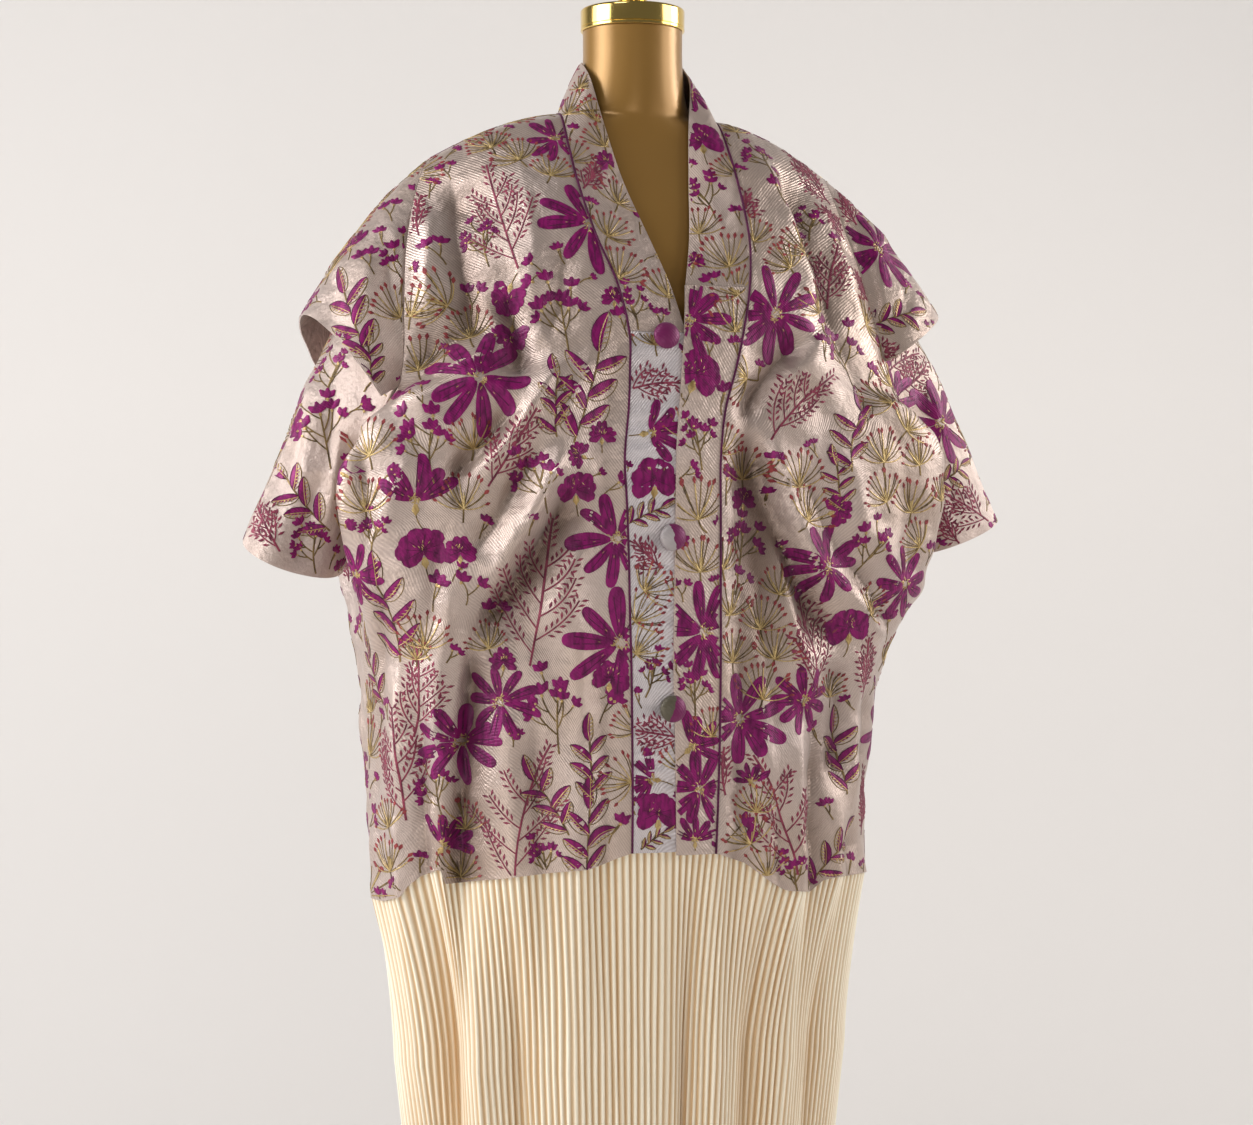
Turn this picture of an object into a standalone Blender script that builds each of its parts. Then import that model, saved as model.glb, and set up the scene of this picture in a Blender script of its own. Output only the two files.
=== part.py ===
"""Brocade dress with a finely pleated skirt, on a limbless dress form.

Metres, +Z up, the front towards -Y. The origin is the middle of the base's underside.
Right and left are the wearer's: right is -X, left is +X. Each cloth piece is a closed
wall between an outer grid of points and the same grid moved in along its normals.
"""
import math

import bmesh
import bpy
import numpy as np

NAME = "brocade_dress"

# Cloth sizes
BROCADE = 0.0015
PLISSE = 0.0014
SEAM = 0.0002
PANEL_COLUMNS = 14
RETURN_SHARE = 0.25
SLEEVE_ARC = 50
OVERLAP_RAISE = 0.0024
BAND_CROWN = 0.0018

# Skirt sizes
PLEATS_EACH_SIDE = 98
PLEAT_DEPTH = 0.0013
SKIRT_INSET = 0.0036
TUCK = 0.007
HEM_Z = 0.080

# Dress form sizes
NECK_RADIUS = 0.0537
NECK_TOP = 1.5550
CAP_RADIUS = 0.0562
CAP_HEIGHT = 0.024
STEM_RADIUS = 0.0135
KNOB_RADIUS = 0.019
FINIAL_TOP = 1.640
FORM_BOTTOM = 0.780
POLE_RADIUS = 0.014
BASE_RADIUS = 0.180
BASE_HEIGHT = 0.014
REST_GAP = 0.0003

BUTTON_RADIUS = 0.0140
BUTTON_HEIGHT = 0.0085
BUTTONS = ((-0.0125, 1.216), (-0.0087, 1.009), (-0.0087, 0.833))

# One row for each level of the front, from the shoulder seam down. z is the height where the
# panel meets the band, drop how much lower its side is, deep how far in front of the neck's
# axis it is at the band, and tip at its widest. wide is the half width and side the half width
# at the side seam, turn how much of the way back to the side seam the panel goes. seam is where
# the panel ends at the band. The names end in r for the right half and l for the left half.
FRONT_COLUMNS = ("z", "drop", "deep", "tip", "wide_r", "side_r", "wide_l", "side_l", "turn",
                 "seam_r", "seam_l")
FRONT = (
    (1.4625, .049, .000, .000, .218, .218, .212, .212, .00, .0850, .0850),
    (1.4540, .056, .034, .019, .236, .236, .218, .218, .00, .0900, .0855),
    (1.4200, .066, .068, .042, .254, .254, .226, .226, .00, .0930, .0860),
    (1.3750, .074, .098, .062, .266, .266, .238, .238, .00, .0910, .0873),
    (1.3200, .076, .124, .076, .271, .271, .250, .250, .00, .0800, .0885),
    (1.2700, .070, .139, .084, .273, .273, .260, .260, .00, .0620, .0830),
    (1.2200, .058, .148, .088, .280, .280, .272, .272, .00, .0520, .0725),
    (1.1800, .042, .152, .098, .300, .264, .294, .260, .40, .0525, .0620),
    (1.1400, .025, .154, .100, .324, .253, .313, .250, 1.0, .0545, .0505),
    (1.0900, .018, .155, .095, .344, .262, .324, .258, 1.0, .0590, .0452),
    (1.0400, .020, .155, .084, .339, .279, .320, .272, 1.0, .0565, .0451),
    (0.9800, .024, .155, .066, .322, .294, .309, .283, 1.0, .0545, .0451),
    (0.9300, .027, .155, .046, .302, .297, .280, .275, 1.0, .0535, .0451),
    (0.8800, .030, .155, .028, .294, .294, .271, .271, 1.0, .0520, .0451),
    (0.8000, .035, .155, .016, .2905, .2905, .265, .265, 1.0, .0510, .0440),
    (0.7400, .038, .154, .010, .287, .287, .2605, .2605, 1.0, .0503, .0425),
    (0.6870, .040, .152, .006, .283, .283, .264, .264, 1.0, .0500, .0410),
)
FRONT_PARTS = (1,) * 8 + (2,) * 8

# The same for the back, whose seam column is the neckline and runs to the centre back.
BACK_COLUMNS = ("z", "drop", "deep", "tip", "wide_r", "side_r", "wide_l", "side_l", "turn",
                "seam_r", "seam_l")
BACK = (
    (1.4625, .049, .000, .000, .218, .218, .212, .212, .00, .085, .085),
    (1.4600, .051, .030, .016, .226, .226, .218, .218, .00, .074, .074),
    (1.4540, .056, .054, .030, .236, .236, .224, .224, .00, .045, .045),
    (1.4470, .062, .070, .040, .244, .244, .228, .228, .00, .000, .000),
    (1.4150, .070, .090, .056, .254, .254, .236, .236, .00, .000, .000),
    (1.3700, .074, .106, .068, .262, .262, .246, .246, .00, .000, .000),
    (1.3200, .076, .116, .076, .268, .268, .256, .256, .00, .000, .000),
    (1.2700, .070, .121, .080, .270, .270, .262, .262, .00, .000, .000),
    (1.2200, .058, .124, .080, .274, .274, .270, .270, .00, .000, .000),
    (1.1800, .042, .125, .086, .290, .264, .286, .260, .40, .000, .000),
    (1.1400, .025, .125, .086, .306, .253, .300, .250, 1.0, .000, .000),
    (1.0900, .018, .125, .082, .318, .262, .312, .258, 1.0, .000, .000),
    (1.0400, .020, .125, .074, .315, .279, .310, .272, 1.0, .000, .000),
    (0.9800, .024, .125, .058, .308, .294, .300, .283, 1.0, .000, .000),
    (0.9300, .027, .125, .040, .299, .297, .279, .275, 1.0, .000, .000),
    (0.8800, .030, .125, .028, .294, .294, .271, .271, 1.0, .000, .000),
    (0.8000, .035, .125, .016, .2905, .2905, .265, .265, 1.0, .000, .000),
    (0.7400, .038, .125, .010, .287, .287, .2605, .2605, 1.0, .000, .000),
    (0.6870, .040, .124, .006, .283, .283, .264, .264, 1.0, .000, .000),
)
BACK_PARTS = (1,) * 10 + (2,) * 8
FRONT_ARMHOLE = 8
BACK_ARMHOLE = 10
BACK_NECK = 3

# The band's free edge beside each front row, from the shoulder down to where the band ends:
# x on the right and on the left side, how far forward, and the height.
BAND_COLUMNS = ("edge_r", "edge_l", "forward", "height")
BAND_FRONT = (
    (.0580, .0580, .000, 1.520),
    (.0570, .0555, .031, 1.497),
    (.0490, .0460, .052, 1.448),
    (.0365, .0365, .079, 1.384),
    (.0180, .0270, .108, 1.323),
    (.0020, .0150, .131, 1.271),
    (-.0100, .0060, .147, 1.220),
)
BAND_BACK = (
    (.0580, .0580, .000, 1.520),
    (.0520, .0520, .029, 1.519),
    (.0310, .0310, .050, 1.517),
    (.0000, .0000, .060, 1.516),
)
BAND_END_RIGHT = 6
BAND_END_LEFT = 5
UNDER_EDGE = 0.0100

# The over placket's free edge, by height.
OVER_EDGE_Z = (0.600, 0.880, 1.100, 1.150, 1.210, 1.250, 1.290)
OVER_EDGE_X = (-0.001, -0.0073, -0.0040, 0.0000, 0.0058, 0.0095, 0.0120)

# The largest folds: each is a soft ridge (or, below zero, a valley) along a line in X and Z.
FOLD_COLUMNS = ("x_top", "z_top", "x_end", "z_end", "width", "height")
FRONT_FOLDS = (
    (-.185, 1.410, -.232, 1.190, .026, -.011),
    (-.185, 1.215, -.315, 1.125, .020, -.017),
    (-.105, 1.195, -.255, 0.945, .030, 0.015),
    (-.205, 1.010, -.236, 0.560, .026, -.022),
    (-.275, 0.990, -.272, 0.560, .024, 0.010),
    (-.125, 0.980, -.150, 0.560, .030, 0.011),
    (0.095, 1.430, 0.180, 1.110, .028, 0.012),
    (0.055, 1.155, 0.265, 0.880, .027, -.030),
    (0.098, 1.050, 0.150, 0.790, .024, 0.014),
    (0.165, 0.980, 0.215, 0.810, .022, 0.011),
    (0.165, 0.830, 0.168, 0.560, .020, -.016),
    (0.130, 0.850, 0.134, 0.560, .018, 0.009),
    (0.070, 1.120, 0.070, 0.560, .020, -.010),
)
BACK_FOLDS = (
    (-.055, 1.350, -.215, 1.110, .032, -.013),
    (0.065, 1.340, 0.210, 1.100, .032, -.013),
    (-.115, 1.100, -.160, 0.560, .030, 0.016),
    (-.195, 1.020, -.212, 0.560, .028, -.020),
    (-.020, 1.160, -.030, 0.560, .032, -.014),
    (0.080, 1.090, 0.105, 0.560, .030, 0.015),
    (0.168, 1.040, 0.185, 0.560, .026, -.022),
)

# The skirt below the brocade: half widths, depths and height of each level.
SKIRT_COLUMNS = ("z", "wide_r", "wide_l", "front", "back")
SKIRT = (
    (0.460, .261, .239, .140, .118),
    (HEM_Z, .218, .198, .119, .104),
)
SKIRT_FRONT_FOLDS = (
    (-.236, 0.900, -.200, -.140, .016, -.024),
    (-.212, 0.900, -.180, -.140, .010, 0.006),
    (-.170, 0.900, -.150, -.140, .014, -.008),
    (0.017, 0.900, 0.006, -.140, .009, -.012),
    (0.092, 0.900, 0.075, -.140, .016, -.011),
    (0.185, 0.900, 0.150, -.140, .020, -.008),
)
SKIRT_BACK_FOLDS = (
    (-.190, 0.900, -.160, -.140, .018, -.018),
    (-.070, 0.900, -.060, -.140, .018, -.010),
    (0.050, 0.900, 0.045, -.140, .016, -.012),
    (0.165, 0.900, 0.140, -.140, .018, -.016),
)

# The over-sleeve's hem: its outer tip, and where its front meets the armhole low down.
HEM_COLUMNS = ("tip_x", "tip_z", "low_x", "low_y", "low_z")
OVERSLEEVE_HEM = {
    "right": (.362, 1.241, .300, .100, 1.152),
    "left": (.350, 1.259, .268, .096, 1.205),
}
OVERSLEEVE_END_FRONT = {"right": 6, "left": 5}
OVERSLEEVE_END_BACK = {"right": 8, "left": 7}
OVERSLEEVE_STEPS = 7
OVERSLEEVE_CROWN = 0.012

# The under-sleeve's cuff: its outer and inner ends in X and Z, half its depth, how far its
# front stands out beyond its back, how much lower its front is, and the sleeve's bulge.
CUFF_COLUMNS = ("outer_x", "outer_z", "inner_x", "inner_z", "depth", "swing", "tilt", "crown")
CUFF = {
    "right": (.421, 1.009, .318, 0.971, .044, .024, .013, .008),
    "left": (.428, 1.032, .330, 0.992, .044, .000, .004, .015),
}
UNDERSLEEVE_INSET = 0.0036
UNDERSLEEVE_EASE = 0.0022
UNDERSLEEVE_START = 0.0006
UNDERSLEEVE_STEPS = 7

# The form's sections: height, half width, and depth to the front and to the back.
TORSO_COLUMNS = ("z", "wide", "front", "back", "power")
TORSO = (
    (0.780, .148, .094, .096, 2.0),
    (0.800, .158, .104, .106, 2.0),
    (0.870, .164, .108, .108, 2.0),
    (0.950, .150, .102, .098, 2.0),
    (1.040, .124, .091, .086, 2.0),
    (1.120, .134, .110, .090, 2.0),
    (1.200, .149, .128, .096, 2.0),
    (1.280, .160, .116, .098, 2.0),
    (1.340, .170, .094, .092, 1.9),
    (1.385, .184, .074, .080, 1.7),
    (1.412, .194, .062, .070, 1.5),
    (1.4300, .1785, .055, .060, 1.3),
    (1.4420, .1530, .052, .056, 1.3),
    (1.4530, .1110, .051, .054, 1.1),
    (1.4600, .0735, .051, .053, 1.4),
    (1.4700, .0620, .052, .053, 1.9),
    (1.4850, .0570, .0530, .0530, 2.0),
    (1.5200, .0538, .0537, .0537, 2.0),
    (NECK_TOP, NECK_RADIUS, NECK_RADIUS, NECK_RADIUS, 2.0),
)
TORSO_STEPS = 32


# Tables

def columns(table, names):
    """A table as arrays, one for each named column."""
    return dict(zip(names, np.array(table, dtype=float).T))


def spread(table, names, parts):
    """The table's rows with each interval cut into its own number of parts, on smooth curves.

    Each value follows a cubic through its rows, whose slope at a row is half the difference
    between the rows on either side.
    """
    at = np.concatenate([i + np.arange(n) / n for i, n in enumerate(parts)] + [[len(parts)]])
    values = np.array(table, dtype=float)
    slopes = np.gradient(values, axis=0)
    low = np.minimum(at.astype(int), len(values) - 2)
    t = (at - low)[:, None]
    curve = ((2 * t**3 - 3 * t**2 + 1) * values[low] + (t**3 - 2 * t**2 + t) * slopes[low]
             + (3 * t**2 - 2 * t**3) * values[low + 1] + (t**3 - t**2) * slopes[low + 1])
    row = dict(zip(names, curve.T))
    if "turn" in row:
        row["turn"] = np.clip(row["turn"], 0, 1)
    return row


def ease(x):
    """0 below 0, 1 above 1, and a smooth step between."""
    x = np.clip(x, 0, 1)
    return x * x * (3 - 2 * x)


# Grids of points

def unit(vectors):
    return vectors / np.maximum(np.linalg.norm(vectors, axis=-1, keepdims=True), 1e-12)


def grid_normals(points, centre, closed=False):
    """The normal at each point of a grid, on the side away from the given centre point."""
    down = np.gradient(points, axis=0)
    if closed:
        across = np.roll(points, -1, axis=1) - np.roll(points, 1, axis=1)
    else:
        across = np.gradient(points, axis=1)
    normals = unit(np.cross(across, down))
    outward = np.sum(normals * (points - np.array(centre)))
    return normals if outward > 0 else -normals


def level_out(normals, rows, cols, axis=1):
    """The same normals, with those at the given rows and columns turned square to an axis."""
    normals = normals.copy()
    normals[rows, cols, axis] = 0
    return unit(normals)


def trim(points, top=0.0, bottom=0.0, first=0.0, last=0.0):
    """The grid with its edges drawn in along the cloth, so that pieces stay apart at seams."""
    points = points.copy()
    points[0] += unit(points[1] - points[0]) * top
    points[-1] += unit(points[-2] - points[-1]) * bottom
    points[:, 0] += unit(points[:, 1] - points[:, 0]) * first
    points[:, -1] += unit(points[:, -2] - points[:, -1]) * last
    return points


def fold_height(table, points):
    """How far the folds push the cloth out at each point.

    Across its line a fold falls off as a bell curve. Along it, it fades in and out over the
    first and last quarter.
    """
    height = np.zeros(points.shape[:-1])
    fold = columns(table, FOLD_COLUMNS)
    for i in range(len(table)):
        run = np.array([fold["x_end"][i] - fold["x_top"][i], fold["z_end"][i] - fold["z_top"][i]])
        length = np.hypot(*run)
        dx = points[..., 0] - fold["x_top"][i]
        dz = points[..., 2] - fold["z_top"][i]
        along = (dx * run[0] + dz * run[1]) / length**2
        across = (dx * run[1] - dz * run[0]) / length
        bell = np.exp(-(across / fold["width"][i]) ** 2)
        height += fold["height"][i] * bell * ease(along * 4) * ease((1 - along) * 4)
    return height


def half_section(row, side, facing, s):
    """Points of one half of the front or the back on the levels of the given rows.

    The cloth goes from the band on an ellipse out to its widest point, then curls back to the
    side seam. Beside a sleeve it stops on the ellipse before it turns. s runs from 0 at the band
    to 1 at the side. facing is -1 in front, 1 behind.
    """
    hand = -1 if side == "right" else 1
    key = "_" + side[0]
    seam, wide, end = (row[name + key][:, None] for name in ("seam", "wide", "side"))
    z, drop, deep, tip, turn = (row[name][:, None] for name in ("z", "drop", "deep", "tip", "turn"))
    split = 1 - RETURN_SHARE * turn
    s = s[None, :]
    arc = np.radians(SLEEVE_ARC + (90 - SLEEVE_ARC) * ease(turn * 2.5))
    angle = np.clip(s / split, 0, 1) * arc
    back = turn * np.clip((s - split) / np.maximum(1 - split, 1e-9), 0, 1)
    curl = np.sin(back * math.pi / 2) ** 1.3
    reach = np.sin(angle) / np.sin(arc)
    inward = (np.cos(angle) - np.cos(arc)) / (1 - np.cos(arc))
    x = seam + (wide - seam) * reach - (wide - end) * curl
    y = (tip + (deep - tip) * inward) * (1 - back)
    low = ease((1.10 - z) / 0.35)
    fall = (1 - low) * reach**1.6 + low * (1 - (1 - reach) ** 2.2)
    return np.stack([hand * x, facing * y, z - drop * fall], axis=-1)


def half_panel(table, side, facing, folds):
    """One half of the front or the back, with its folds, as a grid of outer points."""
    names = FRONT_COLUMNS if facing < 0 else BACK_COLUMNS
    parts = FRONT_PARTS if facing < 0 else BACK_PARTS
    row = spread(table, names, parts)
    s = np.linspace(0, 1, PANEL_COLUMNS)
    points = half_section(row, side, facing, s)
    normals = grid_normals(points, (0, 0, 1.0))
    fade = ease((1 - s) / 0.3)[None, :]
    if facing < 0:
        fade = fade * ease(s / 0.1)[None, :]
    height = fold_height(folds, points) * fade * ease(np.arange(len(row["z"])) / 3)[:, None]
    return points + normals * height[..., None]


# Solids

def closed_mesh(name, vertices, faces):
    """A mesh from points and faces, with its faces pointing out."""
    mesh = bpy.data.meshes.new(name)
    mesh.from_pydata(vertices.tolist(), [], faces)
    work = bmesh.new()
    work.from_mesh(mesh)
    bmesh.ops.remove_doubles(work, verts=work.verts, dist=1e-6)
    bmesh.ops.recalc_face_normals(work, faces=work.faces)
    work.to_mesh(mesh)
    work.free()
    mesh.shade_smooth()
    mesh.set_sharp_from_angle(angle=math.radians(50))
    return mesh


def wall(name, points, normals, thickness, closed=False):
    """A closed wall between a grid of outer points and the same grid moved in.

    A closed grid joins its last column to its first, as on a tube.
    """
    rows, cols = points.shape[:2]
    vertices = np.concatenate([points.reshape(-1, 3), (points - normals * thickness).reshape(-1, 3)])
    inner = rows * cols
    spans = cols if closed else cols - 1
    faces = []
    for i in range(rows - 1):
        for j in range(spans):
            a, b = i * cols + j, i * cols + (j + 1) % cols
            faces.append((a, b, b + cols, a + cols))
            faces.append((inner + a, inner + a + cols, inner + b + cols, inner + b))
    for j in range(spans):
        a, b = j, (j + 1) % cols
        c, d = (rows - 1) * cols + a, (rows - 1) * cols + b
        faces.append((a, inner + a, inner + b, b))
        faces.append((c, d, inner + d, inner + c))
    if not closed:
        for i in range(rows - 1):
            a, b = i * cols, i * cols + cols - 1
            faces.append((a, a + cols, inner + a + cols, inner + a))
            faces.append((b, inner + b, inner + b + cols, b + cols))
    return closed_mesh(name, vertices, faces)


def add(name, mesh, material, collection, location=(0, 0, 0), rotation=(0, 0, 0)):
    piece = bpy.data.objects.new(name, mesh)
    piece.location = location
    piece.rotation_euler = rotation
    collection.objects.link(piece)
    mesh.materials.append(material)
    return piece


def turned(name, profile, material, collection, steps, location=(0, 0, 0), rotation=(0, 0, 0)):
    """A turned piece: the profile, from the top down its outer side, spun round Z."""
    mesh = bpy.data.meshes.new(name)
    points = [(x, 0, z) for x, z in profile]
    mesh.from_pydata(points, [(i, i + 1) for i in range(len(points) - 1)], [])
    piece = add(name, mesh, material, collection, location, rotation)
    screw = piece.modifiers.new("turn", "SCREW")
    screw.steps = steps
    screw.render_steps = steps
    screw.use_merge_vertices = True
    screw.merge_threshold = 0.00005
    screw.use_smooth_shade = True
    return piece


def material(name, color, roughness, metallic=0.0):
    finish = bpy.data.materials.new(name)
    finish.use_nodes = True
    shader = finish.node_tree.nodes["Principled BSDF"]
    shader.inputs["Base Color"].default_value = (*color, 1)
    shader.inputs["Roughness"].default_value = roughness
    shader.inputs["Metallic"].default_value = metallic
    return finish


# Bodice panels

def build_panels(brocade, collection):
    """The two fronts and the back, and the grids that the other pieces are sewn to."""
    grids = {}
    for side in ("right", "left"):
        front = half_panel(FRONT, side, -1, FRONT_FOLDS)
        normals = level_out(grid_normals(front, (0, 0, 1.0)), 0, slice(None))
        below = sum(FRONT_PARTS[:FRONT_ARMHOLE])
        normals = level_out(normals, slice(below, None), -1)
        normals = level_out(normals, slice(BAND_END_LEFT, None), 0, axis=0)
        grids["front", side] = front, normals
        cut = trim(front, top=SEAM, first=SEAM, last=SEAM)
        add("front_" + side, wall("front_" + side, cut, normals, BROCADE), brocade, collection)
        grids["back", side] = half_panel(BACK, side, 1, BACK_FOLDS)

    right, left = grids["back", "right"], grids["back", "left"]
    middle = (right[:, :1] + left[:, :1]) / 2
    neck = sum(BACK_PARTS[:BACK_NECK])
    middle[:neck] = right[:neck, :1]
    for side in ("right", "left"):
        grid = grids["back", side].copy()
        grid[neck:, 0] = middle[neck:, 0]
        normals = level_out(grid_normals(grid, (0, 0, 1.0)), 0, slice(None))
        below = sum(BACK_PARTS[:BACK_ARMHOLE])
        grids["back", side] = grid, level_out(normals, slice(below, None), -1)
    spine = grids["back", "right"][1][neck:, 0] + grids["back", "left"][1][neck:, 0]
    spine[:, 0] = 0
    halves = []
    for side in ("right", "left"):
        grid, normals = grids["back", side]
        normals[neck:, 0] = unit(spine)
        halves.append((trim(grid, top=SEAM, last=SEAM), normals))
    add("back", back_mesh(halves, neck), brocade, collection)
    return grids


def back_mesh(halves, neck):
    """The back as one wall: two mirrored halves that share the centre line below the neckline."""
    vertices, faces = [], []
    for hand, (grid, normals) in enumerate(halves):
        grid = grid.copy()
        for i in range(neck + 1):
            step = unit(grid[i, 1] - grid[i, 0]) if i < neck else np.array([0, 0, -1.0])
            grid[i, 0] = grid[i, 0] + step * SEAM
        rows, cols = grid.shape[:2]
        start = len(vertices)
        vertices.extend(grid.reshape(-1, 3).tolist())
        inner = len(vertices)
        vertices.extend((grid - normals * BROCADE).reshape(-1, 3).tolist())
        for i in range(rows - 1):
            for j in range(cols - 1):
                a, b = i * cols + j, i * cols + j + 1
                faces.append((start + a, start + b, start + b + cols, start + a + cols))
                faces.append((inner + a, inner + a + cols, inner + b + cols, inner + b))
            b = i * cols + cols - 1
            faces.append((start + b, inner + b, inner + b + cols, start + b + cols))
            if i < neck:
                a = i * cols
                faces.append((start + a, start + a + cols, inner + a + cols, inner + a))
        for j in range(cols - 1):
            a, c = j, (rows - 1) * cols + j
            faces.append((start + a, inner + a, inner + a + 1, start + a + 1))
            faces.append((start + c, start + c + 1, inner + c + 1, inner + c))
    return closed_mesh("back", np.array(vertices), faces)


# Neckband and plackets

def build_band(grids, brocade, collection):
    """The neckband, sewn along the fronts' and the back's inner edges, free at its other edge."""
    stations = []
    for facing, table, side, order in (("front", BAND_FRONT, "right", -1), ("back", BAND_BACK, "right", 1),
                                       ("back", BAND_BACK, "left", -1), ("front", BAND_FRONT, "left", 1)):
        band = columns(table, BAND_COLUMNS)
        last = BAND_END_RIGHT if side == "right" else BAND_END_LEFT
        count = last + 1 if facing == "front" else len(table)
        hand = -1 if side == "right" else 1
        away = -1 if facing == "front" else 1
        free = np.stack([hand * band["edge_" + side[0]], away * band["forward"], band["height"]], axis=-1)
        sewn = grids[facing, side][0][:count, 0]
        pairs = np.stack([sewn, free[:count]], axis=1)[::order]
        stations.append(pairs if not stations else pairs[1:])
    pairs = np.concatenate(stations)
    across = np.linspace(0, 1, 4)[None, :, None]
    points = pairs[:, :1] * (1 - across) + pairs[:, 1:] * across
    normals = grid_normals(points, (0, 0, 1.40))
    station = np.arange(len(pairs))
    fade = ease(np.minimum(station, station[::-1]) / 3)[:, None, None]
    points = points + normals * BAND_CROWN * np.sin(across * math.pi) * fade
    cut = trim(points, top=SEAM, bottom=SEAM, first=SEAM * 2)
    add("neckband", wall("neckband", cut, normals, BROCADE), brocade, collection)


def build_plackets(grids, brocade, collection):
    """The two front bands below the V. The wearer's left one lies over the right one."""
    start = sum(FRONT_PARTS[:BAND_END_RIGHT])
    seam = grids["front", "right"][0][start:, 0]
    across = np.linspace(0, 1, 4)
    x = seam[:, :1] * (1 - across) + UNDER_EDGE * across
    under = np.stack([x, seam[:, 1:2] + 0 * x, seam[:, 2:] + 0 * x], axis=-1)
    normals = grid_normals(under, (0, 0, 1.0))
    cut = trim(under, top=SEAM, first=SEAM)
    add("placket_under", wall("placket_under", cut, normals, BROCADE), brocade, collection)

    start = sum(FRONT_PARTS[:BAND_END_LEFT])
    seam = grids["front", "left"][0][start:, 0]
    edge = np.interp(seam[:, 2], OVER_EDGE_Z, OVER_EDGE_X)[:, None]
    x = seam[:, :1] * (1 - across) + edge * across
    y = seam[:, 1:2] - OVERLAP_RAISE * ease(across * 1.5)[None, :]
    over = np.stack([x, y, seam[:, 2:] + 0 * x], axis=-1)
    normals = grid_normals(over, (0, 0, 1.0))
    cut = trim(over, top=SEAM, first=SEAM)
    add("placket_over", wall("placket_over", cut, normals, BROCADE), brocade, collection)


def build_buttons(grids, brocade, collection):
    """Three cloth-covered domes, flat behind, on the over placket."""
    seam = grids["front", "left"][0][::-1, 0]
    profile = [(BUTTON_RADIUS * math.sin(a), BUTTON_HEIGHT * (0.25 + 0.75 * math.cos(a)))
               for a in np.radians((0, 30, 60, 90))]
    profile += [(BUTTON_RADIUS * 0.86, 0), (0, 0)]
    for number, (x, z) in enumerate(BUTTONS, start=1):
        above, below = (np.interp(z + step, seam[:, 2], seam[:, 1]) for step in (BUTTON_RADIUS, -BUTTON_RADIUS))
        slope = math.atan2(above - below, 2 * BUTTON_RADIUS)
        covers_edge = x + BUTTON_RADIUS > np.interp(z, OVER_EDGE_Z, OVER_EDGE_X)
        y = (above + below) / 2 - REST_GAP * 2.5 - (OVERLAP_RAISE if covers_edge else 0)
        turned("button_%d" % number, profile, brocade, collection, 16,
               (x, y, z), (math.pi / 2 - slope, 0, 0))


# Sleeves

def armhole(grids, side, front_end, back_end):
    """The armhole from low in front over the shoulder to low behind: points and normals."""
    front, front_normals = grids["front", side]
    back, back_normals = grids["back", side]
    points = np.concatenate([front[:front_end + 1, -1][::-1], back[1:back_end + 1, -1]])
    normals = np.concatenate([front_normals[:front_end + 1, -1][::-1],
                              back_normals[1:back_end + 1, -1]])
    return points, normals


def build_oversleeve(grids, side, brocade, collection):
    """A wing sewn to the upper armhole, open under the arm, with a slanted hem."""
    hand = -1 if side == "right" else 1
    hem = dict(zip(HEM_COLUMNS, OVERSLEEVE_HEM[side]))
    start, sewn_normals = armhole(grids, side, OVERSLEEVE_END_FRONT[side], OVERSLEEVE_END_BACK[side])
    front_share = np.linspace(-1, 0, OVERSLEEVE_END_FRONT[side] + 1)
    back_share = np.linspace(0, 1, OVERSLEEVE_END_BACK[side] + 1)[1:]
    angle = np.concatenate([front_share, back_share]) * math.pi / 2
    fall = 1 - np.cos(angle)
    end = np.stack([hand * (hem["tip_x"] + (hem["low_x"] - hem["tip_x"]) * fall),
                    hem["low_y"] * np.sin(angle),
                    hem["tip_z"] + (hem["low_z"] - hem["tip_z"]) * fall], axis=-1)
    u = np.linspace(0, 1, OVERSLEEVE_STEPS)[:, None, None]
    points = start * (1 - u) + end * u
    crown = OVERSLEEVE_CROWN * np.cos(angle)[None, :, None] * np.sin(u * math.pi)
    points = points + sewn_normals * crown
    points[0] += unit(points[1] - points[0]) * SEAM * 2
    normals = grid_normals(points, (hand * 0.22, 0, 1.20))
    normals[0] = sewn_normals
    name = "oversleeve_" + side
    add(name, wall(name, points, normals, BROCADE), brocade, collection)


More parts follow.
